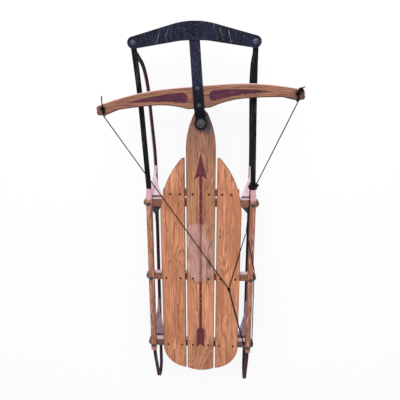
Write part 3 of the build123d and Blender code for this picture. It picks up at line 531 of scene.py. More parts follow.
def made(name, mesh, material, smooth_angle=0.6):
    """Closes a mesh as a finished object with its normals outwards."""
    bmesh.ops.recalc_face_normals(mesh, faces=mesh.faces)
    for face in mesh.faces:
        face.smooth = True
    for edge in mesh.edges:
        edge.smooth = len(edge.link_faces) == 2 and edge.calc_face_angle(0.0) < smooth_angle
    data = bpy.data.meshes.new(name)
    mesh.to_mesh(data)
    mesh.free()
    data.materials.append(material)
    piece = bpy.data.objects.new(name, data)
    bpy.context.scene.collection.objects.link(piece)
    return piece


def line_profile(turns, step):
    """Points along a line of straight runs and bends, each (length, radius, angle), from level."""
    spot = Vector((0.0, 0.0))
    heading = 0.0
    points = [(spot.copy(), heading)]
    for length, radius, angle in turns:
        arc = abs(radius * angle) if radius else length
        steps = max(1, math.ceil(arc / step))
        for _ in range(steps):
            turn = angle / steps
            chord = arc / steps if not radius else 2 * radius * math.sin(abs(turn) / 2)
            spot = spot + chord * Vector((math.cos(heading + turn / 2), math.sin(heading + turn / 2)))
            heading += turn
            points.append((spot.copy(), heading))
    return points


def box_middle(node):
    """The middle of a solid of the frame, in metres."""
    low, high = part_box(node)
    return (low + high) / 2


def bar_stations(profile, origin_x, base_height, bend, tip, ease):
    """Stations of a bar that lies along X up to its bend and then points to its tip, eased at the bend."""
    turn = math.atan2(tip.y - bend.y, tip.x - bend.x)
    stations = []
    for spot, heading in profile:
        run = origin_x + spot.x - bend.x
        yaw = turn * min(max((run + ease) / (2 * ease), 0.0), 1.0)
        if run <= -ease:
            plan = Vector((run, 0.0))
        elif run >= ease:
            plan = Vector((math.cos(turn), math.sin(turn))) * run
        else:
            plan = Vector((run, turn * (run + ease) ** 2 / (4 * ease)))
        point = Vector((bend.x + plan.x, bend.y + plan.y, base_height + spot.y))
        along = Vector((math.cos(yaw), math.sin(yaw), 0.0))
        sideways = Vector((-along.y, along.x, 0.0))
        up = Vector((0, 0, math.cos(heading))) - along * math.sin(heading)
        stations.append((point, sideways, up))
    return stations


EASE = 0.05
STEP = 0.006
FLANGE_HALF = 0.00575
FLANGE_THICK = 0.004
WEB_HALF = 0.002
WEB_TOP = 0.013
GROOVE_HALF = 0.00325
GROOVE_DEPTH = 0.0012
EDGE = 0.0008
LOOP_LEVEL = 0.011
LOOP_HEAD_RADIUS = 0.1
LOOP_RISE = math.radians(24.0)
LOOP_RADIUS = 0.036
KICK_RADIUS = 0.1
KICK_ANGLE = math.radians(75.0)
TIP_RADIUS = 0.012
RIVET_HEAD = 0.0085
SOLE_RUB = (2.2, 0.6)
SOLE_SHINE = 0.8
FLANGE_HIGHLIGHT_RUN = (170.0, 215.0)
BLACK_TIP = (490.0, 530.0)
RIGHT_SIDE = (0.0, -10.0)
BLACK_RIGHT = (180.0, 240.0)

half_section = [
    (0.0, GROOVE_DEPTH),
    (GROOVE_HALF * 0.55, GROOVE_DEPTH * 0.8),
    (GROOVE_HALF, 0.0),
    (FLANGE_HALF - EDGE, 0.0),
    (FLANGE_HALF, EDGE),
    (FLANGE_HALF, FLANGE_THICK - EDGE),
    (FLANGE_HALF - EDGE, FLANGE_THICK),
    (WEB_HALF + EDGE, FLANGE_THICK),
    (WEB_HALF, FLANGE_THICK + EDGE),
    (WEB_HALF, WEB_TOP - EDGE),
    (WEB_HALF - EDGE, WEB_TOP),
]
tee = half_section + [(-across, rise) for across, rise in reversed(half_section) if across]
# The face of the section that is the upper side of each runner's outer flange
OUTER_FLANGE = {"left": 6, "right": 14}

# Rolled steel with worn maroon paint: nearly black and dull, bright metal only where the sole is rubbed
runner_paint, tree, shader, place, colour = chipped_paint(
    "rolled_steel_worn_maroon_paint", "#37202A", "#4A2A34", "#6E6058", 7.0, 0.33
)
axes = put(tree, "ShaderNodeSeparateXYZ", [place])
rubbed = put(tree, "ShaderNodeMapRange", [axes.outputs["Z"], *SOLE_RUB], **SOFT_STEP)
# In front the upper faces of the outer flanges are painted near white as a highlight. The tips under the
# irons are painted black as the irons' shade, and so is most of the right front.
flange = put(tree, "ShaderNodeAttribute", attribute_name="flange_top").outputs["Fac"]
front_part = put(tree, "ShaderNodeMapRange", [axes.outputs["X"], *FLANGE_HIGHLIGHT_RUN, 0.0, 0.95], **SOFT_STEP)
# The upper face of the outer flange is painted near white in front as a highlight
pale = put(tree, "ShaderNodeMath", [flange, front_part], operation="MULTIPLY")
# The tips and most of the right front are painted black as the shade of the irons over them
tip_shade = put(tree, "ShaderNodeMapRange", [axes.outputs["X"], *BLACK_TIP, 0.0, 0.95], **SOFT_STEP)
right_half = put(tree, "ShaderNodeMapRange", [axes.outputs["Y"], *RIGHT_SIDE], **SOFT_STEP)
right_front = put(tree, "ShaderNodeMapRange", [axes.outputs["X"], *BLACK_RIGHT, 0.0, 0.9], **SOFT_STEP)
right_front_shade = put(tree, "ShaderNodeMath", [right_half, right_front], operation="MULTIPLY")
coats = [("#F0DAE4", pale), ("#121113", right_front_shade), ("#121113", tip_shade), ("#8A8682", rubbed)]
painted_over(tree, shader, colour, coats)
bright = put(tree, "ShaderNodeMath", [rubbed, SOLE_SHINE], operation="MULTIPLY")
tree.links.new(bright.outputs[0], shader.inputs["Metallic"])

for side in ("left", "right"):
    loop_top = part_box(f"runner_{side}")[1].z
    tip_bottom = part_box(f"runner_front_{side}")[1].z - FLANGE_THICK
    hinge = joint_place(f"flex_{side}")
    loop_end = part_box("bench_rear")[0].x
    widening = LOOP_HEAD_RADIUS - LOOP_RADIUS
    climb = loop_top - LOOP_HEAD_RADIUS - LOOP_RADIUS + widening * math.cos(LOOP_RISE)
    loop_x = loop_end - LOOP_LEVEL - widening * math.sin(LOOP_RISE) - climb / math.tan(LOOP_RISE)
    tip = box_middle(f"bumper_rivet_{side}")
    reach = math.hypot(tip.x - hinge.x, tip.y - hinge.y)
    turned_up = (KICK_RADIUS + TIP_RADIUS) * (1 - math.cos(KICK_ANGLE))
    slope = (tip_bottom - turned_up) / math.sin(KICK_ANGLE)
    kick = (KICK_RADIUS + TIP_RADIUS) * math.sin(KICK_ANGLE) + slope * math.cos(KICK_ANGLE)
    sole = hinge.x + reach - RIVET_HEAD - kick - loop_x
    profile = line_profile(
        [
            (LOOP_LEVEL, 0.0, 0.0),
            (0.0, LOOP_HEAD_RADIUS, LOOP_RISE),
            (climb / math.sin(LOOP_RISE), 0.0, 0.0),
            (0.0, LOOP_RADIUS, math.pi - LOOP_RISE),
            (sole, 0.0, 0.0),
            (0.0, KICK_RADIUS, KICK_ANGLE),
            (slope, 0.0, 0.0),
            (0.0, TIP_RADIUS, -KICK_ANGLE),
            (2 * RIVET_HEAD, 0.0, 0.0),
        ],
        STEP,
    )
    # The loop is drawn from its upper end, which runs rearwards, so it starts turned round
    flipped = [(Vector((-spot.x, -spot.y)), heading + math.pi) for spot, heading in profile]
    start = Vector((loop_end, loop_top))
    flat = [(start + spot - Vector((loop_x, 0.0)), heading) for spot, heading in flipped]
    stations = bar_stations(flat, loop_x, 0.0, hinge, tip, EASE)
    piece = swept(f"steel_runner_{side}", tee, stations, runner_paint)
    marks = piece.data.attributes.new("flange_top", "FLOAT", "FACE")
    for index, mark in enumerate(marks.data):
        mark.value = float(index % len(tee) == OUTER_FLANGE[side])
    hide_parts(f"runner_{side}", f"runner_front_{side}")
    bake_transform(piece)

# Front irons
# Flat steel bars let into the front bench, which reach forward to the bumper; on the sled they bend with
# the runners, but here each is drawn as one fixed piece.
# They are painted black, and riveted under the bumper through the tips of the runners.

IRON_HALF = 0.00775
IRON_THICK = 0.005
IRON_EASE = 0.012
IRON_SWEEP = 0.7
IRON_TIP_BEND = 0.06
iron_section = [
    (IRON_HALF - EDGE, 0.0),
    (IRON_HALF, EDGE),
    (IRON_HALF, IRON_THICK - EDGE),
    (IRON_HALF - EDGE, IRON_THICK),
]
iron_section += [(-across, rise) for across, rise in reversed(iron_section)]

# Flat steel with black stove paint: deep and even, grey streaks along the bars painted as highlights and
# rubbed paint
iron_paint, tree, shader, place, colour = chipped_paint(
    "flat_steel_black_stove_paint", "#0C0D0F", "#17191B", "#3C3A38", 6.0, 0.3
)
# Grey streaks along the bars, painted as highlights and as paint rubbed thin
rubs_and_highlights = blotches(tree, place, (55, 2.2, 20), (0.6, 0.7), (0.0, 0.7), detail=3.0, shift=19.0)
painted_over(tree, shader, colour, [("#565658", rubs_and_highlights)])
for side in ("left", "right"):
    root_low, root_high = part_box(f"iron_root_{side}")
    tip_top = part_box(f"iron_front_{side}")[1].z
    hinge = joint_place(f"flex_{side}")
    tip = box_middle(f"bumper_rivet_{side}")
    # The whole bar leans from the bench, so it is straight from there to the bumper
    bend = Vector((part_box("bench_front")[1].x, hinge.y, hinge.z))
    reach = math.hypot(tip.x - bend.x, tip.y - bend.y)
    rise = tip_top - root_high.z
    turn = math.acos(1 - rise / (IRON_SWEEP + IRON_TIP_BEND))
    run = (IRON_SWEEP + IRON_TIP_BEND) * math.sin(turn)
    level = bend.x + reach - RIVET_HEAD - run - root_low.x
    profile = line_profile(
        [
            (level, 0.0, 0.0),
            (0.0, IRON_SWEEP, turn),
            (0.0, IRON_TIP_BEND, -turn),
            (2 * RIVET_HEAD, 0.0, 0.0),
        ],
        STEP,
    )
    stations = bar_stations(profile, root_low.x, root_low.z, bend, tip, IRON_EASE)
    piece = swept(f"flat_iron_{side}", iron_section, stations, iron_paint)
    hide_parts(f"iron_root_{side}", f"iron_front_{side}")
    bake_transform(piece)

# Steering bar
# A bow sawn from one oak plank, with a maroon feather painted on each arm. It is riveted under the strap
# and turns with it, and the rope goes through a hole in each end.

BAR_TONES = ("#B07C62", "#9E6A52", "#6A4036")
BAR_HEART = (-470.0, 90.0)
FEATHER_CENTRE = 78.5
FEATHER_BOW = 2.4
FEATHER_BOW_AT = 110.0
FEATHER_BOW_RUN = 60.0
FEATHER_ROOT = 44.0
FEATHER_HALF = 14.5
FEATHER_END = 214.0
BARBULE = 9.0
BARBULE_DEPTH = 7.0
ROPE_HOLE = (62.0, 276.0)
HOLE_RING = (10.5, 6.5)
GRIMY_ENDS = (248.0, 292.0)
GRIMY_RIGHT = (-252.0, -284.0)
BAR_BEVEL = 2.5
BEVEL_SKIN = (0.1, 0.5)
FACE_FADE = 2.0

centre_rivet = box_middle("bumper_rivet_centre") * 1000
rest_turn = math.atan2(centre_rivet.y - pivot.y, centre_rivet.x - pivot.x)

# Oak sawn and clear-varnished, browned by handling: dark streaks along the grain and a satin sheen
wood, tree, shader, place, colour = oak("oak_sawn_and_varnished_bar", BAR_TONES, BAR_HEART)
# The grain follows the bar, which stands turned a little to the left
straight = {"Vector": place, "Center": pivot, "Angle": -rest_turn}
local = put(tree, "ShaderNodeVectorRotate", straight, rotation_type="Z_AXIS")
from_pivot = put(tree, "ShaderNodeVectorMath", [local, pivot], operation="SUBTRACT")
quarter = {"Vector": local, "Angle": math.pi / 2}
lengthwise = put(tree, "ShaderNodeVectorRotate", quarter, rotation_type="Z_AXIS")
for link in [link for link in tree.links if link.from_node == place and link.to_node != local]:
    tree.links.new(lengthwise.outputs[0], link.to_socket)
axes = put(tree, "ShaderNodeSeparateXYZ", [from_pivot])
off = put(tree, "ShaderNodeMath", [axes.outputs["Y"]], operation="ABSOLUTE")
bow_run = [off, 1 / FEATHER_BOW_RUN, -FEATHER_BOW_AT / FEATHER_BOW_RUN]
bow_share = put(tree, "ShaderNodeMath", bow_run, operation="MULTIPLY_ADD")
bow_square = put(tree, "ShaderNodeMath", [bow_share, bow_share], operation="MULTIPLY")
bowed = [bow_square, -FEATHER_BOW, FEATHER_CENTRE]
spine = put(tree, "ShaderNodeMath", bowed, operation="MULTIPLY_ADD")
from_spine = put(tree, "ShaderNodeMath", [axes.outputs["X"], spine], operation="SUBTRACT")
spread = put(tree, "ShaderNodeMath", [from_spine], operation="ABSOLUTE")
taper = -FEATHER_HALF / (FEATHER_END - FEATHER_ROOT)
vane_half = [off, taper, FEATHER_HALF - taper * FEATHER_ROOT]
vane_edge = put(tree, "ShaderNodeMath", vane_half, operation="MULTIPLY_ADD")
barbs = speckle(tree, lengthwise, (BARBULE, 40, 40), shift=27.0)
ripple = put(tree, "ShaderNodeMath", [barbs, 0.5], operation="SUBTRACT")
is_rear = put(tree, "ShaderNodeMath", [from_spine, 0.0], operation="LESS_THAN")
notch = put(tree, "ShaderNodeMath", [ripple, is_rear], operation="MULTIPLY")
notched = [notch, BARBULE_DEPTH, vane_edge]
rough_edge = put(tree, "ShaderNodeMath", notched, operation="MULTIPLY_ADD")
vane_depth = put(tree, "ShaderNodeMath", [rough_edge, spread], operation="SUBTRACT")
past_root = put(tree, "ShaderNodeMath", [off, FEATHER_ROOT], operation="SUBTRACT")
vane = put(tree, "ShaderNodeMath", [vane_depth, past_root], operation="MINIMUM")
root_spot = put(tree, "ShaderNodeCombineXYZ", {"X": past_root, "Y": from_spine})
root_reach = put(tree, "ShaderNodeVectorMath", [root_spot], operation="LENGTH").outputs["Value"]
root = put(tree, "ShaderNodeMath", [FEATHER_HALF, root_reach], operation="SUBTRACT")
feather_depth = put(tree, "ShaderNodeMath", [vane, root], operation="MAXIMUM")
feather = put(tree, "ShaderNodeMapRange", [feather_depth, 0.0, 1.0], **SOFT_STEP)
rim = put(tree, "ShaderNodeMapRange", [feather_depth, 0.2, 2.4, 0.8, 0.0], **SOFT_STEP)
dark_rim = put(tree, "ShaderNodeMath", [rim, feather], operation="MULTIPLY")
worn = blotches(tree, lengthwise, (26, 4, 4), (0.28, 0.4), (0.6, 1.0), detail=4.0, shift=17.0)
feather_mask = put(tree, "ShaderNodeMath", [feather, worn], operation="MULTIPLY")
# Handling has left dark streaks, grimy ends and dark rings round the rope holes. The front bevel is
# painted pale pink as a highlight, and the rear one near black as shade and dirt.
streaks = blotches(tree, lengthwise, (60, 3.6, 3.6), (0.5, 0.64), (0.0, 0.75), detail=4.0, shift=23.0)
veins = blotches(tree, lengthwise, (40, 3.2, 3.2), (0.42, 0.6), (0.0, 0.8), detail=3.0, shift=43.0)
dark_veins = put(tree, "ShaderNodeMath", [feather, veins], operation="MULTIPLY")
ends = put(tree, "ShaderNodeMapRange", [off, *GRIMY_ENDS, 0.0, 0.5], **SOFT_STEP)
right_end = put(tree, "ShaderNodeMapRange", [axes.outputs["Y"], *GRIMY_RIGHT, 0.0, 0.75], **SOFT_STEP)
folded = put(tree, "ShaderNodeCombineXYZ", {"X": axes.outputs["X"], "Y": off})
from_hole = put(tree, "ShaderNodeVectorMath", [folded, (*ROPE_HOLE, 0)], operation="DISTANCE")
ring = put(tree, "ShaderNodeMapRange", [from_hole.outputs["Value"], *HOLE_RING, 0.0, 0.85], **SOFT_STEP)
level = put(tree, "ShaderNodeSeparateXYZ", [place]).outputs["Z"]
bar_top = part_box("steering_bar")[1].z * 1000
bevel_top = [bar_top - depth for depth in BEVEL_SKIN]
under_edge = put(tree, "ShaderNodeMapRange", [level, *bevel_top, 0.0, 0.8], **SOFT_STEP)
face_top = bar_top - BAR_BEVEL
over_face = put(tree, "ShaderNodeMapRange", [level, face_top - FACE_FADE, face_top], **SOFT_STEP)
bevel = put(tree, "ShaderNodeMath", [under_edge, over_face], operation="MULTIPLY")
# The front bevel is painted pale as a highlight, the rear bevel near black as shade and dirt
rear_bevel_shade_and_dirt = put(tree, "ShaderNodeMath", [bevel, is_rear], operation="MULTIPLY")
front_bevel_highlight = put(tree, "ShaderNodeMath", [bevel, rear_bevel_shade_and_dirt], operation="SUBTRACT")
coats = [("#4A2822", streaks), ("#5A3A3C", ends), ("#4A3038", right_end), ("#501530", feather_mask)]
coats += [("#260C1A", dark_veins), ("#1C080E", dark_rim)]
coats += [("#E2BFBC", front_bevel_highlight), ("#2A1A18", rear_bevel_shade_and_dirt), ("#171110", ring)]
painted_over(tree, shader, colour, coats)
dress("steering_bar", wood)

# Strap and bumper
# Flat steel, cut and bent to shape and painted navy black. The strap is joggled over the bar and runs from
# the pivot bolt to the bumper, which ties the two irons together. Both are scratched and chipped.

# The scratches slant alike on both arms of the bumper. Each is given by its middle, ahead of the sled's
# middle and beside the centre rivet, and by its slant in degrees and its length.
SCRATCHES = ((571.5, 98.0, -15.0, 40.0), (578.0, 75.0, -20.0, 38.0))
SCRATCH_HALF = 0.9
SCRATCH_FADE = 0.6
HAIR_SWIRL = 40.0
GREASY_RUN = (445.0, 405.0)

# Flat steel with navy-black paint: a blue cast under small grey chips and hair scratches
steel_paint, tree, shader, place, colour = chipped_paint(
    "flat_steel_navy_black_paint", "#0F111E", "#1F223A", "#50525E", 4.2, 0.37
)
bent = speckle(tree, place, (30, 30, 30), shift=2.0)
swirling = {0: bent.outputs["Color"], "Scale": HAIR_SWIRL}
swirl = put(tree, "ShaderNodeVectorMath", swirling, operation="SCALE")
scratch_place = put(tree, "ShaderNodeVectorMath", [place, swirl], operation="ADD")
hair = blotches(tree, scratch_place, (60, 1.8, 60), (0.64, 0.7), (0.0, 0.55), detail=1.0, shift=4.0)
coats = [("#5C5E6C", hair)]
axes = put(tree, "ShaderNodeSeparateXYZ", [place])
sideways = put(tree, "ShaderNodeMath", [axes.outputs["Y"], centre_rivet.y], operation="SUBTRACT")
off = put(tree, "ShaderNodeMath", [sideways], operation="ABSOLUTE")
folded = put(tree, "ShaderNodeCombineXYZ", {"X": axes.outputs["X"], "Y": off})
for ahead, across, slant, length in SCRATCHES:
    turning = {"Vector": folded, "Center": (ahead, across, 0), "Angle": -math.radians(slant)}
    turned_back = put(tree, "ShaderNodeVectorRotate", turning, rotation_type="Z_AXIS")
    spot = put(tree, "ShaderNodeSeparateXYZ", [turned_back])
    depth = 1.0
    for axis, middle, half in (("X", ahead, length / 2), ("Y", across, SCRATCH_HALF)):
        shifted = put(tree, "ShaderNodeMath", [spot.outputs[axis], middle], operation="SUBTRACT")
        reach = put(tree, "ShaderNodeMath", [shifted], operation="ABSOLUTE")
        inside = put(tree, "ShaderNodeMapRange", [reach, half, half * SCRATCH_FADE], **SOFT_STEP)
        depth = put(tree, "ShaderNodeMath", [inside, depth], operation="MULTIPLY")
    broken = put(tree, "ShaderNodeMapRange", [bent, 0.4, 0.52, 0.25, 0.85], **SOFT_STEP)
    coats.append(("#9A958E", put(tree, "ShaderNodeMath", [depth, broken], operation="MULTIPLY")))
greasy = put(tree, "ShaderNodeMapRange", [axes.outputs["X"], *GREASY_RUN, 0.0, 0.75], **SOFT_STEP)
coats.append(("#0B0A10", greasy))
painted_over(tree, shader, colour, coats)
dress("steering_strap", steel_paint)

# The bumper is cut from plate: round ends on the irons, straight arms and a deeper middle on the strap.
# Its corners in front and behind are eased over a run to each side.
BUMPER_END = 0.016
BUMPER_FRONT = 0.0302
BUMPER_DEPTH = 0.0495
FRONT_HALF = 0.03
FRONT_RUN = 0.03
REAR_HALF = 0.034
REAR_RUN = 0.013
CORNER_STEPS = 6
END_STEPS = 18
PLATE_EDGE = 0.0005


def eased(before, corner, after, run):
    """A corner of an outline, rounded over a short run to each side."""
    start = corner + (before - corner).normalized() * run
    stop = corner + (after - corner).normalized() * run
    spots = []
    for k in range(CORNER_STEPS + 1):
        done = k / CORNER_STEPS
        spots.append(start.lerp(corner, done).lerp(corner.lerp(stop, done), done))
    return spots


left_rivet = box_middle("bumper_rivet_left")
right_rivet = box_middle("bumper_rivet_right")
half_span = (left_rivet - right_rivet).length / 2
outwards = (left_rivet - right_rivet).normalized()
forwards = Vector((outwards.y, -outwards.x, 0))
between_ends = (left_rivet + right_rivet) / 2
plate_front = (centre_rivet / 1000 - between_ends).dot(forwards) + BUMPER_FRONT
plate_rear = plate_front - BUMPER_DEPTH
front_corner = Vector((plate_front, FRONT_HALF))
rear_corner = Vector((plate_rear, REAR_HALF))
end = Vector((0, half_span))
# Angles at which the front and rear edges of an arm touch its round end
touches = []
for corner, way in ((front_corner, 1), (rear_corner, -1)):
    reach = corner - end
    touches.append(math.atan2(reach.y, reach.x) + way * math.acos(BUMPER_END / reach.length))
sweep = touches[1] + 2 * math.pi - touches[0]
round_end = []
for k in range(END_STEPS + 1):
    angle = touches[0] + sweep * k / END_STEPS
    round_end.append(end + BUMPER_END * Vector((math.cos(angle), math.sin(angle))))
half_outline = eased(Vector((plate_front, 0)), front_corner, round_end[0], FRONT_RUN)[1:] + round_end
half_outline += eased(round_end[-1], rear_corner, Vector((plate_rear, 0)), REAR_RUN)
outline = half_outline + [Vector((spot.x, -spot.y)) for spot in reversed(half_outline)]
low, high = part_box("bumper_plate")
mesh = bmesh.new()
rings = []
for height in (low.z, high.z):
    ring = []
    for spot in outline:
        plan = between_ends + forwards * spot.x + outwards * spot.y
        ring.append(mesh.verts.new((plan.x, plan.y, height)))
    rings.append(ring)
faces = [mesh.faces.new(ring) for ring in rings]
lower, upper = rings
count = len(outline)
for k in range(count):
    mesh.faces.new((lower[k], lower[(k + 1) % count], upper[(k + 1) % count], upper[k]))
rim_edges = list(faces[0].edges) + list(faces[1].edges)
bmesh.ops.bevel(mesh, geom=rim_edges, offset=PLATE_EDGE, segments=1, affect="EDGES")
piece = made("steel_bumper", mesh, steel_paint)
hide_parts("bumper_plate")
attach(piece, "bumper")

# Pivot bolt and bumper rivets
# A domed bolt holds the strap down on the nose of the centre board, with a nut below. Domed rivets join
# the bumper to the irons and to the strap.


def turned(name, outline, centre, material, segments=40):
    """A piece turned on a lathe: an outline of (radius, height) from the bottom to the top."""
    mesh = bmesh.new()
    rings = []
    for radius, height in outline:
        ring = []
        for k in range(segments):
            angle = 2 * math.pi * k / segments
            spot = Vector((radius * math.cos(angle), radius * math.sin(angle), height))
            ring.append(mesh.verts.new(centre + spot))
        rings.append(ring)
    for first, second in zip(rings, rings[1:]):
        for k in range(segments):
            mesh.faces.new((first[k], first[(k + 1) % segments], second[(k + 1) % segments], second[k]))
    mesh.faces.new(rings[0])
    mesh.faces.new(rings[-1])
    return made(name, mesh, material)


def dome_outline(radius, height, base, steps=7):
    """Outline of a domed head from its rim to a small flat on top."""
    ball = (radius**2 + height**2) / (2 * height)
    opening = math.asin(min(1.0, radius / ball))
    angles = [opening * (1 - k / steps) for k in range(steps)] + [opening * DOME_FLAT]
    return [(ball * math.sin(a), base + height - ball * (1 - math.cos(a))) for a in angles]


DOME_FLAT = 0.04
SHANK = 0.004
TAIL_RIM = 0.9
HEAD_RIM = 0.98
TAIL_HEIGHT = 0.0025
HEAD_HEIGHT = 0.004
BOLT_SHANK = 0.005
BOLT_HEAD = 0.013
FLANGE_HEIGHT = 0.0019
DOME_RADIUS = 0.0098
NUT_RADIUS = 0.009
NUT_RIM = 0.92
NUT_HEIGHT = 0.006
# The strap and its play lie between the board and the bolt's head
HEAD_LIFT = 0.004

# Turned steel, oiled and worn: dark grey with pale specks, and glossier than the paints
worn_steel, tree, shader, place, colour = chipped_paint(
    "turned_steel_oiled_and_worn", "#1C181D", "#352F34", "#6C6468", 4.0, 0.38, 0.5
)
painted_over(tree, shader, colour, [])
# Rivet steel with navy paint, rubbed by handling: paler and glossier than the plate round it
rivet_paint, tree, shader, place, colour = chipped_paint(
    "rivet_steel_rubbed_navy_paint", "#2A2D48", "#43475F", "#64667A", 4.0, 0.42, 0.3
)
painted_over(tree, shader, colour, [])
rivets = {
    "left": ("front_left", rivet_paint),
    "right": ("front_right", rivet_paint),
    "centre": ("bumper", steel_paint),
}
for name, (body, finish) in rivets.items():
    middle = box_middle(f"bumper_rivet_{name}")
    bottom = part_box(f"bumper_rivet_{name}")[0].z
    under = bottom + TAIL_HEIGHT
    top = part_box("bumper_plate")[1].z
    outline = [(RIVET_HEAD * TAIL_RIM, bottom), (RIVET_HEAD, bottom + EDGE)]
    outline += [(RIVET_HEAD, under), (SHANK, under), (SHANK, top), (RIVET_HEAD * HEAD_RIM, top)]
    outline += dome_outline(RIVET_HEAD, HEAD_HEIGHT, top + EDGE / 2)
    piece = turned(f"domed_rivet_{name}", outline, Vector((middle.x, middle.y, 0)), finish)
    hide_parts(f"bumper_rivet_{name}")
    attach(piece, body)

low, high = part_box("pivot_bolt")
middle = box_middle("pivot_bolt")
head_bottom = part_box("deck_board_centre")[1].z + HEAD_LIFT
outline = [(NUT_RADIUS * NUT_RIM, low.z), (NUT_RADIUS, low.z + EDGE), (NUT_RADIUS, low.z + NUT_HEIGHT)]
outline += [(BOLT_SHANK, low.z + NUT_HEIGHT), (BOLT_SHANK, head_bottom), (BOLT_HEAD - EDGE, head_bottom)]
outline += [(BOLT_HEAD, head_bottom + EDGE), (BOLT_HEAD - EDGE, head_bottom + FLANGE_HEIGHT)]
outline += dome_outline(DOME_RADIUS, high.z - head_bottom - FLANGE_HEIGHT, head_bottom + FLANGE_HEIGHT)
piece = turned("domed_pivot_bolt", outline, Vector((middle.x, middle.y, 0)), worn_steel)
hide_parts("pivot_bolt")
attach(piece, "frame")

# Rope
# A thin dark cord of three laid strands, stiff with age. It is tied through the bar's ends, pulled tight
# over the deck and along the right rail, wound round the right iron and knotted.


def eased_corners(points, reach):
    """A route with a point added on each side of its corners, so that long runs stay straight."""
    route = [Vector(points[0])]
    for before, corner, after in zip(points, points[1:], points[2:]):
        corner = Vector(corner)
        beside = []
        for neighbour in (before, after):
            way = Vector(neighbour) - corner
            beside.append(corner + way.normalized() * min(reach, way.length / 2))
        route += [beside[0], corner, beside[1]]
    route.append(Vector(points[-1]))
    return route


def smooth_line(points, step):
    """Evenly spaced points along a smooth curve that is led by the given points."""
    curve = bpy.data.curves.new("route", "CURVE")
    curve.dimensions = "3D"
    curve.resolution_u = CURVE_STEPS
    spline = curve.splines.new("NURBS")
    spline.points.add(len(points) - 1)
    for knot, point in zip(spline.points, points):
        knot.co = (*point, 1.0)
    spline.order_u = 3
    spline.use_endpoint_u = True
    holder = bpy.data.objects.new("route", curve)
    mesh = bpy.data.meshes.new_from_object(holder)
    spots = [vertex.co.copy() for vertex in mesh.vertices]
    bpy.data.objects.remove(holder)
    bpy.data.curves.remove(curve)
    bpy.data.meshes.remove(mesh)
    line = [spots[0]]
    left_over = 0.0
    for start, end in zip(spots, spots[1:]):
        length = (end - start).length
        done = step - left_over
        while done <= length:
            line.append(start.lerp(end, done / length))
            done += step
        left_over = length - (done - step)
    return line


def laid_rope(name, routes, material, sides=6, strands=3):
    """Rope along routes, each a list of points with the rope's radius, as strands laid round each other."""
    mesh = bmesh.new()
    for points, radius in routes:
        line = smooth_line(points, radius * RING_GAP)
        normal = Vector((0, 0, 1))
        rings = [[] for _ in range(strands)]
        for index, spot in enumerate(line):
            onwards = line[min(index + 1, len(line) - 1)] - line[max(index - 1, 0)]
            onwards.normalize()
            normal = (normal - onwards * normal.dot(onwards)).normalized()
            beside = onwards.cross(normal)
            for strand in range(strands):
                lay = 2 * math.pi * (index * RING_GAP / LAY_LENGTH + strand / strands)
                middle = spot + (normal * math.cos(lay) + beside * math.sin(lay)) * radius * STRAND_OFFSET
                ring = []
                for k in range(sides):
                    angle = 2 * math.pi * k / sides
                    edge = (normal * math.cos(angle) + beside * math.sin(angle)) * radius * STRAND_RADIUS
                    ring.append(mesh.verts.new(middle + edge))
                rings[strand].append(ring)
        for strand_rings in rings:
            for first, second in zip(strand_rings, strand_rings[1:]):
                for k in range(sides):
                    mesh.faces.new((first[k], first[(k + 1) % sides], second[(k + 1) % sides], second[k]))
            mesh.faces.new(strand_rings[0])
            mesh.faces.new(strand_rings[-1])
    return made(name, mesh, material, STRAND_SMOOTH)


def coil(centre, axis, radius, turns, length, steps=10):
    """Points of a coil about an axis."""
    axis = Vector(axis).normalized()
    first = axis.orthogonal().normalized()
    second = axis.cross(first)
    points = []
    for k in range(turns * steps + 1):
        angle = 2 * math.pi * k / steps
        along = axis * length * (k / (turns * steps) - 0.5)
        out = (first * math.cos(angle) + second * math.sin(angle)) * radius
        points.append(Vector(centre) + along + out)
    return points


def on_bar(ahead, across, height):
    """A point on the steering, given from the pivot in metres, with the bar as it stands."""
    return Vector(
        (
            pivot.x / 1000 + ahead * math.cos(rest_turn) - across * math.sin(rest_turn),
            ahead * math.sin(rest_turn) + across * math.cos(rest_turn),
            height,
        )
    )


# One turn of the strands, the gap between their rings, and their places and radius, in radii of the rope
LAY_LENGTH = 6.5
RING_GAP = 0.7
STRAND_OFFSET = 0.5
STRAND_RADIUS = 0.52
# Edges of a strand that turn less than this angle are drawn round
STRAND_SMOOTH = 1.2
CURVE_STEPS = 16
CORD = 0.00175
DOUBLED = 0.0024
KNOT_CORD = 0.0019
STOPPER_CORD = 0.002
STOPPER_RADII = (0.0016, 0.005)
STOPPER_DROP = 0.003
CORNER = 0.012
HOLE_AHEAD, HOLE_ACROSS = (distance / 1000 for distance in ROPE_HOLE)
HOLE_SLACK = 0.0015
BAR_REAR = 0.045
LOOP_OFF_REAR = 1.3 * CORD
LOOP_OFF_FACE = 1.2 * CORD
LOOP_DROP = 0.004
LOOP_TURN = 0.003
TWO_LOOPS = 0.0019
BAR_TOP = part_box("steering_bar")[1].z
BAR_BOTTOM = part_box("steering_bar")[0].z
KNOT = (-0.1885, -0.092, 0.1497)
INNER_END = (-0.3975, -0.14575, 0.1362)
OUTER_END = (-0.3975, -0.17425, 0.1362)
WRAP = (0.151, -0.16, 0.1295)
WRAP_TURNS = 5
WRAP_LENGTH = 0.018
# Corners of one turn, in half widths and half heights of the wound iron
WRAP_CORNERS = (
    (-1.12, 0.5),
    (-1.05, 1.2),
    (0, 1.2),
    (1.05, 1.2),
    (1.12, 0.5),
    (1.12, -0.5),
    (1.05, -1.2),
    (0, -1.2),
    (-1.05, -1.2),
    (-1.12, -0.5),
)
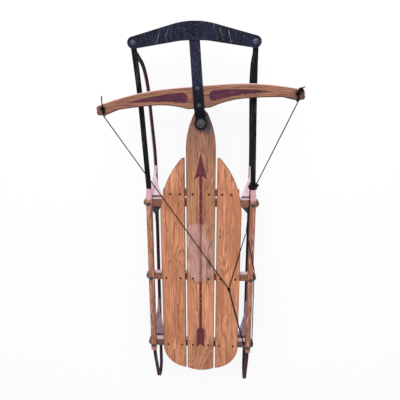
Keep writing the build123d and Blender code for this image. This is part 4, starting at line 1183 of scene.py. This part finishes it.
# Tails of rope on the bar, each point ahead of the hole, across from the middle and above the bar
LEFT_TAIL = ((0.036, 0.2735, 0.004), (0.018, 0.275, 0.0035), (0.004, 0.276, 0.002))
RIGHT_TAIL = ((0.017, -0.294, 0.006), (0.016, -0.287, 0.006), (0.004, -0.277, 0.003))
SECOND_TAIL = ((0.004, -0.274, 0.0022), (0.017, -0.28, 0.0025))
LEFT_KNOT = (-0.007, 0.273, 0.0032)
RIGHT_KNOT = (0.0105, -0.2845, 0.0046)

# Hemp laid in three strands and tarred: black brown, quite matt, with a dusty nap
rope_fibre, tree, shader = start_finish("hemp_cord_tarred_black", Roughness=0.9, Specular_IOR_Level=0.1)
place = object_millimetres(tree)
dust = blotches(tree, place, (5, 5, 5), (0.4, 0.7), detail=3.0)
hairs = {"Fac": dust, "Color1": linear("#170F0E"), "Color2": linear("#382622")}
tree.links.new(put(tree, "ShaderNodeMixRGB", hairs).outputs[0], shader.inputs["Base Color"])
nap = put(tree, "ShaderNodeBump", {"Height": dust, "Strength": 0.4, "Distance": 0.0003})
tree.links.new(nap.outputs[0], shader.inputs["Normal"])

# The two strands from the bar's ends, drawn fixed as they lie with the bar at rest
left_points = [(0.3724, 0.2794, 0.1709), (0.3609, 0.2785, 0.1709), (-0.1835, -0.0888, 0.1495)]
right_points = [(0.4148, -0.271, 0.1709), (0.4033, -0.2719, 0.1709), (0.15895, -0.1697, 0.132)]
for side, points in (("left", left_points), ("right", right_points)):
    piece = laid_rope(f"cord_{side}", [(eased_corners(points, CORNER), CORD)], rope_fibre)
    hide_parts(f"rope_{side}")
    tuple(points[-1])
    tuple(points[1])
    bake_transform(piece)

# Strands that lie still on the frame; those pulled double are drawn thicker and a little higher
along_rail = [
    (0.1448, -0.14955, 0.13395),
    (0.1048, -0.14955, 0.14595),
    (0.0095, -0.142, 0.14595),
    (-0.025, -0.14955, 0.15395),
    (-0.115, -0.17045, 0.15395),
    (-0.3934, -0.1742, 0.1365),
]
to_knot = [(0.0017, -0.1401, 0.1464), (-0.085, -0.1181, 0.1464), (-0.183, -0.0934, 0.1464)]
to_rear = [(-0.1921, -0.0929, 0.1467), (-0.3207, -0.126, 0.1467), (-0.3935, -0.1447, 0.1372)]
still = [
    (eased_corners(along_rail, CORNER), CORD),
    (to_knot, CORD),
    (eased_corners(to_rear, CORNER), DOUBLED),
]
piece = laid_rope("cord_strands", still, rope_fibre)
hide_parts("rope_strands")
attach(piece, "frame")

# Turns round the right iron, and the knots
iron_low, iron_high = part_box("iron_root_right")
wrap_y = (iron_high.y - iron_low.y) / 2 + CORD
wrap_z = (iron_high.z - iron_low.z) / 2 + CORD
wrap_points = []
wrap_count = WRAP_TURNS * len(WRAP_CORNERS)
for k in range(wrap_count):
    across, up = WRAP_CORNERS[k % len(WRAP_CORNERS)]
    along = WRAP_LENGTH * (k / wrap_count - 0.5)
    wrap_points.append(Vector(WRAP) + Vector((along, across * wrap_y, up * wrap_z)))
# Each knot is a short coil: its middle, its axis, its radius, its turns and its length
knots = [
    (wrap_points, CORD),
    (coil((0.149, -0.148, 0.1335), (1.0, 0.0, 0.4), 0.003, 2, 0.008), CORD),
    (coil((0.154, -0.1725, 0.1325), (1.0, 0.0, -0.3), 0.003, 2, 0.008), CORD),
    (coil(KNOT, (0.83, 0.56, 0.0), 0.0032, 3, 0.009), KNOT_CORD),
    (coil(INNER_END, (1.0, -0.2, 0.0), 0.0022, 2, 0.006), CORD),
    (coil(OUTER_END, (1.0, 0.2, 0.0), 0.0022, 2, 0.006), CORD),
]
piece = laid_rope("cord_knots", knots, rope_fibre)
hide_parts("rope_knots")
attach(piece, "frame")


def bar_loop(sign, shift):
    """One turn through the rope hole and round the bar's rear edge."""
    across = sign * HOLE_ACROSS + shift
    rear = BAR_REAR - LOOP_OFF_REAR
    hole = HOLE_AHEAD - HOLE_SLACK
    over = BAR_TOP + LOOP_OFF_FACE
    under = BAR_BOTTOM - LOOP_OFF_FACE
    outline = [(hole, over - LOOP_DROP), (hole, under + LOOP_DROP)]
    outline += [(hole - LOOP_TURN, under), (rear + LOOP_TURN, under)]
    outline += [(rear, under + LOOP_DROP), (rear, over - LOOP_DROP)]
    outline += [(rear + LOOP_TURN, over), (hole - LOOP_TURN, over)]
    return [on_bar(ahead, across, height) for ahead, height in outline]


def by_hole(ahead, across, rise):
    """A point over the bar, given ahead of the rope holes."""
    return on_bar(HOLE_AHEAD + ahead, across, BAR_TOP + rise)


left_tail = [by_hole(*spot) for spot in LEFT_TAIL]
right_tail = [by_hole(*spot) for spot in RIGHT_TAIL]
second_tail = [by_hole(*spot) for spot in SECOND_TAIL]
loops = [
    (left_tail + bar_loop(1, 0.0), CORD),
    (right_tail + bar_loop(-1, -TWO_LOOPS), CORD),
    (bar_loop(-1, TWO_LOOPS) + second_tail, CORD),
    (coil(by_hole(*RIGHT_KNOT), (0.8, 0.5, 0.0), 0.0036, 3, 0.011), CORD),
    (coil(by_hole(*LEFT_KNOT), (0.8, 0.6, 0.0), 0.0026, 2, 0.008), CORD),
]
# A knot below each hole keeps the rope from pulling through
for sign in (1, -1):
    below_hole = on_bar(HOLE_AHEAD, sign * HOLE_ACROSS, BAR_BOTTOM - STOPPER_DROP)
    for knot_radius in STOPPER_RADII:
        loops.append((coil(below_hole, (0.0, 0.0, 1.0), knot_radius, 2, STOPPER_DROP), STOPPER_CORD))
piece = laid_rope("cord_bar_loops", loops, rope_fibre)
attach(piece, "steering")

# Screws, bolts and rivets
# Slotted steel screws hold the boards, round-headed bolts go through rails and benches, and two rivets
# hold the strap on the bar. All are dark with rust.


def slotted_head(name, radius, height, slot_width, slot_depth, material):
    """A low domed head; a slot is cut across it where a width is given."""
    outline = [(radius, 0.0)] + dome_outline(radius, height, HEAD_BASE, HEAD_STEPS)
    piece = turned(name, outline, Vector((0, 0, 0)), material, HEAD_SIDES)
    if slot_width:
        mesh = bmesh.new()
        mesh.from_mesh(piece.data)
        for side in (-1, 1):
            geometry = mesh.verts[:] + mesh.edges[:] + mesh.faces[:]
            across = (0, side * slot_width / 2, 0)
            bmesh.ops.bisect_plane(mesh, geom=geometry, plane_co=across, plane_no=(0, 1, 0))
        between = [f for f in mesh.faces if abs(f.calc_center_median().y) < slot_width / 2]
        cut = [f for f in between if f.normal.z > FACING_UP]
        lowered = bmesh.ops.extrude_face_region(mesh, geom=cut)["geom"]
        floor_verts = [v for v in lowered if isinstance(v, bmesh.types.BMVert)]
        bmesh.ops.translate(mesh, verts=floor_verts, vec=(0, 0, -slot_depth))
        bmesh.ops.delete(mesh, geom=cut, context="FACES_ONLY")
        bmesh.ops.recalc_face_normals(mesh, faces=mesh.faces)
        mesh.to_mesh(piece.data)
        mesh.free()
    return piece


def set_heads(name, head, spots, seed, material):
    """One mesh with a head on each spot, turned about its axis at random."""
    tree = bpy.data.node_groups.new(name, "GeometryNodeTree")
    for label, kind in (("Spots", "Geometry"), ("Head", "Object"), ("Seed", "Int"), ("Finish", "Material")):
        tree.interface.new_socket(label, in_out="INPUT", socket_type=f"NodeSocket{kind}")
    tree.interface.new_socket("Heads", in_out="OUTPUT", socket_type="NodeSocketGeometry")
    given = put(tree, "NodeGroupInput")
    shape = put(tree, "GeometryNodeObjectInfo", {"Object": given.outputs["Head"]}).outputs["Geometry"]
    limits = {0: (0, 0, 0), 1: (0, 0, 2 * math.pi), "Seed": given.outputs["Seed"]}
    spin = put(tree, "FunctionNodeRandomValue", limits, data_type="FLOAT_VECTOR")
    set_on = {"Points": given.outputs["Spots"], "Instance": shape, "Rotation": spin}
    real = put(tree, "GeometryNodeRealizeInstances", [put(tree, "GeometryNodeInstanceOnPoints", set_on)])
    finished = put(tree, "GeometryNodeSetMaterial", {"Geometry": real, "Material": given.outputs["Finish"]})
    put(tree, "NodeGroupOutput", [finished])

    points = bpy.data.meshes.new(f"{name}_spots")
    points.from_pydata([Vector(spot) / 1000 for spot in spots], [], [])
    holder = bpy.data.objects.new(f"{name}_spots", points)
    bpy.context.scene.collection.objects.link(holder)
    modifier = holder.modifiers.new(name, "NODES")
    modifier.node_group = tree
    values = {"Head": head, "Seed": seed, "Finish": material}
    for item in tree.interface.items_tree:
        if item.in_out == "INPUT" and item.name in values:
            modifier[item.identifier] = values[item.name]
    ready = holder.evaluated_get(bpy.context.evaluated_depsgraph_get())
    mesh = bpy.data.meshes.new_from_object(ready)
    mesh.name = name
    piece = bpy.data.objects.new(name, mesh)
    bpy.context.scene.collection.objects.link(piece)
    bpy.data.objects.remove(holder)
    bpy.data.objects.remove(head)
    return piece


DECK_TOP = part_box("deck_board_left")[1].z * 1000
RAIL_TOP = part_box("side_rail_left")[1].z * 1000
STRAP_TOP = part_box("steering_strap")[1].z * 1000
BENCHES = [box_middle(f"bench_{row}").x * 1000 for row in ("front", "mid", "rear")]
TRACK = box_middle("side_rail_left").y * 1000
# Rows of screws along the boards, with their places to each side of the middle
SCREW_ROWS = {125.5: (25.0, 65.0, 94.0), -156.5: (25.0, 65.0, 112.0), -404.5: (26.0, 63.0, 110.0)}
STRAP_RIVETS = (0.0515, 0.0975)
SINK = 0.3
HEAD_BASE = 0.0002
HEAD_STEPS = 5
HEAD_SIDES = 20
FACING_UP = 0.1
SCREW_HEAD = (0.0042, 0.0016)
SCREW_SLOT = (0.0011, 0.0009)
RAIL_BOLT_HEAD = (0.0068, 0.0032)
STRAP_RIVET_HEAD = (0.0055, 0.0026)
NO_SLOT = (0.0, 0.0)
SEEDS = {"screws": 7, "bolts": 3, "rivets": 5}

# Screw steel rusted brown: dull and pitted, darker than the wood
rusty_screw, tree, shader, place, colour = chipped_paint(
    "screw_steel_rusted_brown", "#4A2A24", "#5E3A2E", "#2A1A1A", 2.0, 0.4
)
painted_over(tree, shader, colour, [])
screws = [(x, side * y, DECK_TOP - SINK) for x, row in SCREW_ROWS.items() for y in row for side in (-1, 1)]
head = slotted_head("screw_head", *SCREW_HEAD, *SCREW_SLOT, rusty_screw)
piece = set_heads("deck_screws", head, screws, SEEDS["screws"], rusty_screw)
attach(piece, "frame")

bolts = [(x, side * TRACK, RAIL_TOP - SINK) for x in BENCHES for side in (-1, 1)]
head = slotted_head("rail_bolt_head", *RAIL_BOLT_HEAD, *NO_SLOT, worn_steel)
piece = set_heads("rail_bolts", head, bolts, SEEDS["bolts"], worn_steel)
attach(piece, "frame")

strap_spots = [on_bar(ahead, 0.0, STRAP_TOP / 1000) * 1000 for ahead in STRAP_RIVETS]
head = slotted_head("strap_rivet_head", *STRAP_RIVET_HEAD, *NO_SLOT, worn_steel)
piece = set_heads("strap_rivets", head, strap_spots, SEEDS["rivets"], worn_steel)
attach(piece, "steering")

# Studio
# A plain white floor under soft light that comes mostly from ahead of the sled, and the camera of the
# photograph, high in front of it.

FLOOR_HALF = 3.0
FLOOR_DROP = 0.0005
CAMERA_PLACE = (0.40644, -0.05476, 1.27159)
CAMERA_RIGHT = (0.00085, -0.9987, -0.0508)
CAMERA_UP = (0.9668, 0.0138, -0.2551)
LENS = 34.24
SENSOR_WIDTH = 36.0
FLOOR_LIFT = 0.86
ROOM_LIGHT = 0.62
SOFTBOX_SIZE = 1.6
SOFTBOX_ENERGY = 45.0
SOFTBOX_PLACE = (1.715, 0.1, 1.9)
SOFTBOX_AIM = (0, 0, 0.1)


def seen_directly(tree):
    """One for a ray from the camera, from a gloss or through glass, and else nothing."""
    ray = put(tree, "ShaderNodeLightPath")
    seen = ray.outputs["Is Camera Ray"]
    for kind in ("Is Glossy Ray", "Is Transmission Ray"):
        seen = put(tree, "ShaderNodeMath", [seen, ray.outputs[kind]], operation="MAXIMUM")
    return seen


# Matt white paper, lifted towards pure white where it is seen, so that only soft shadows stay
floor_finish, tree, shader = start_finish("paper_matt_white_floor", Roughness=0.9)
shader.inputs["Base Color"].default_value = linear("#F7F7F7")
lift = put(tree, "ShaderNodeMath", [seen_directly(tree), FLOOR_LIFT], operation="MULTIPLY")
white = put(tree, "ShaderNodeEmission", {"Strength": 1.0})
mixed = put(tree, "ShaderNodeMixShader", [lift, shader, white])
tree.links.new(mixed.outputs[0], tree.nodes["Material Output"].inputs["Surface"])
floor_mesh = bmesh.new()
bmesh.ops.create_grid(floor_mesh, x_segments=1, y_segments=1, size=FLOOR_HALF)
bmesh.ops.translate(floor_mesh, verts=floor_mesh.verts, vec=(0, 0, -FLOOR_DROP))
floor = made("floor", floor_mesh, floor_finish)

world = bpy.data.worlds.new("soft_white_room")
bpy.context.scene.world = world
world.use_nodes = True
tree = world.node_tree
brighter = {"Value": seen_directly(tree), "To Min": ROOM_LIGHT, "To Max": 1.0}
strength = put(tree, "ShaderNodeMapRange", brighter)
tree.links.new(strength.outputs[0], tree.nodes["Background"].inputs["Strength"])
tree.nodes["Background"].inputs["Color"].default_value = (1, 1, 1, 1)

lamp = bpy.data.lights.new("front_softbox", "AREA")
lamp.size = SOFTBOX_SIZE
lamp.energy = SOFTBOX_ENERGY
softbox = bpy.data.objects.new("front_softbox", lamp)
softbox.location = SOFTBOX_PLACE
softbox.rotation_euler = (Vector(SOFTBOX_AIM) - softbox.location).to_track_quat("-Z", "Y").to_euler()
bpy.context.scene.collection.objects.link(softbox)

right = Vector(CAMERA_RIGHT)
up = Vector(CAMERA_UP)
back = right.cross(up)
camera_data = bpy.data.cameras.new("photo_camera")
camera_data.lens = LENS
camera_data.sensor_width = SENSOR_WIDTH
camera = bpy.data.objects.new("photo_camera", camera_data)
camera.matrix_world = Matrix((right, up, back)).transposed().to_4x4()
camera.location = CAMERA_PLACE
bpy.context.scene.collection.objects.link(camera)
bpy.context.scene.camera = camera
bpy.context.scene.view_settings.view_transform = "Standard"
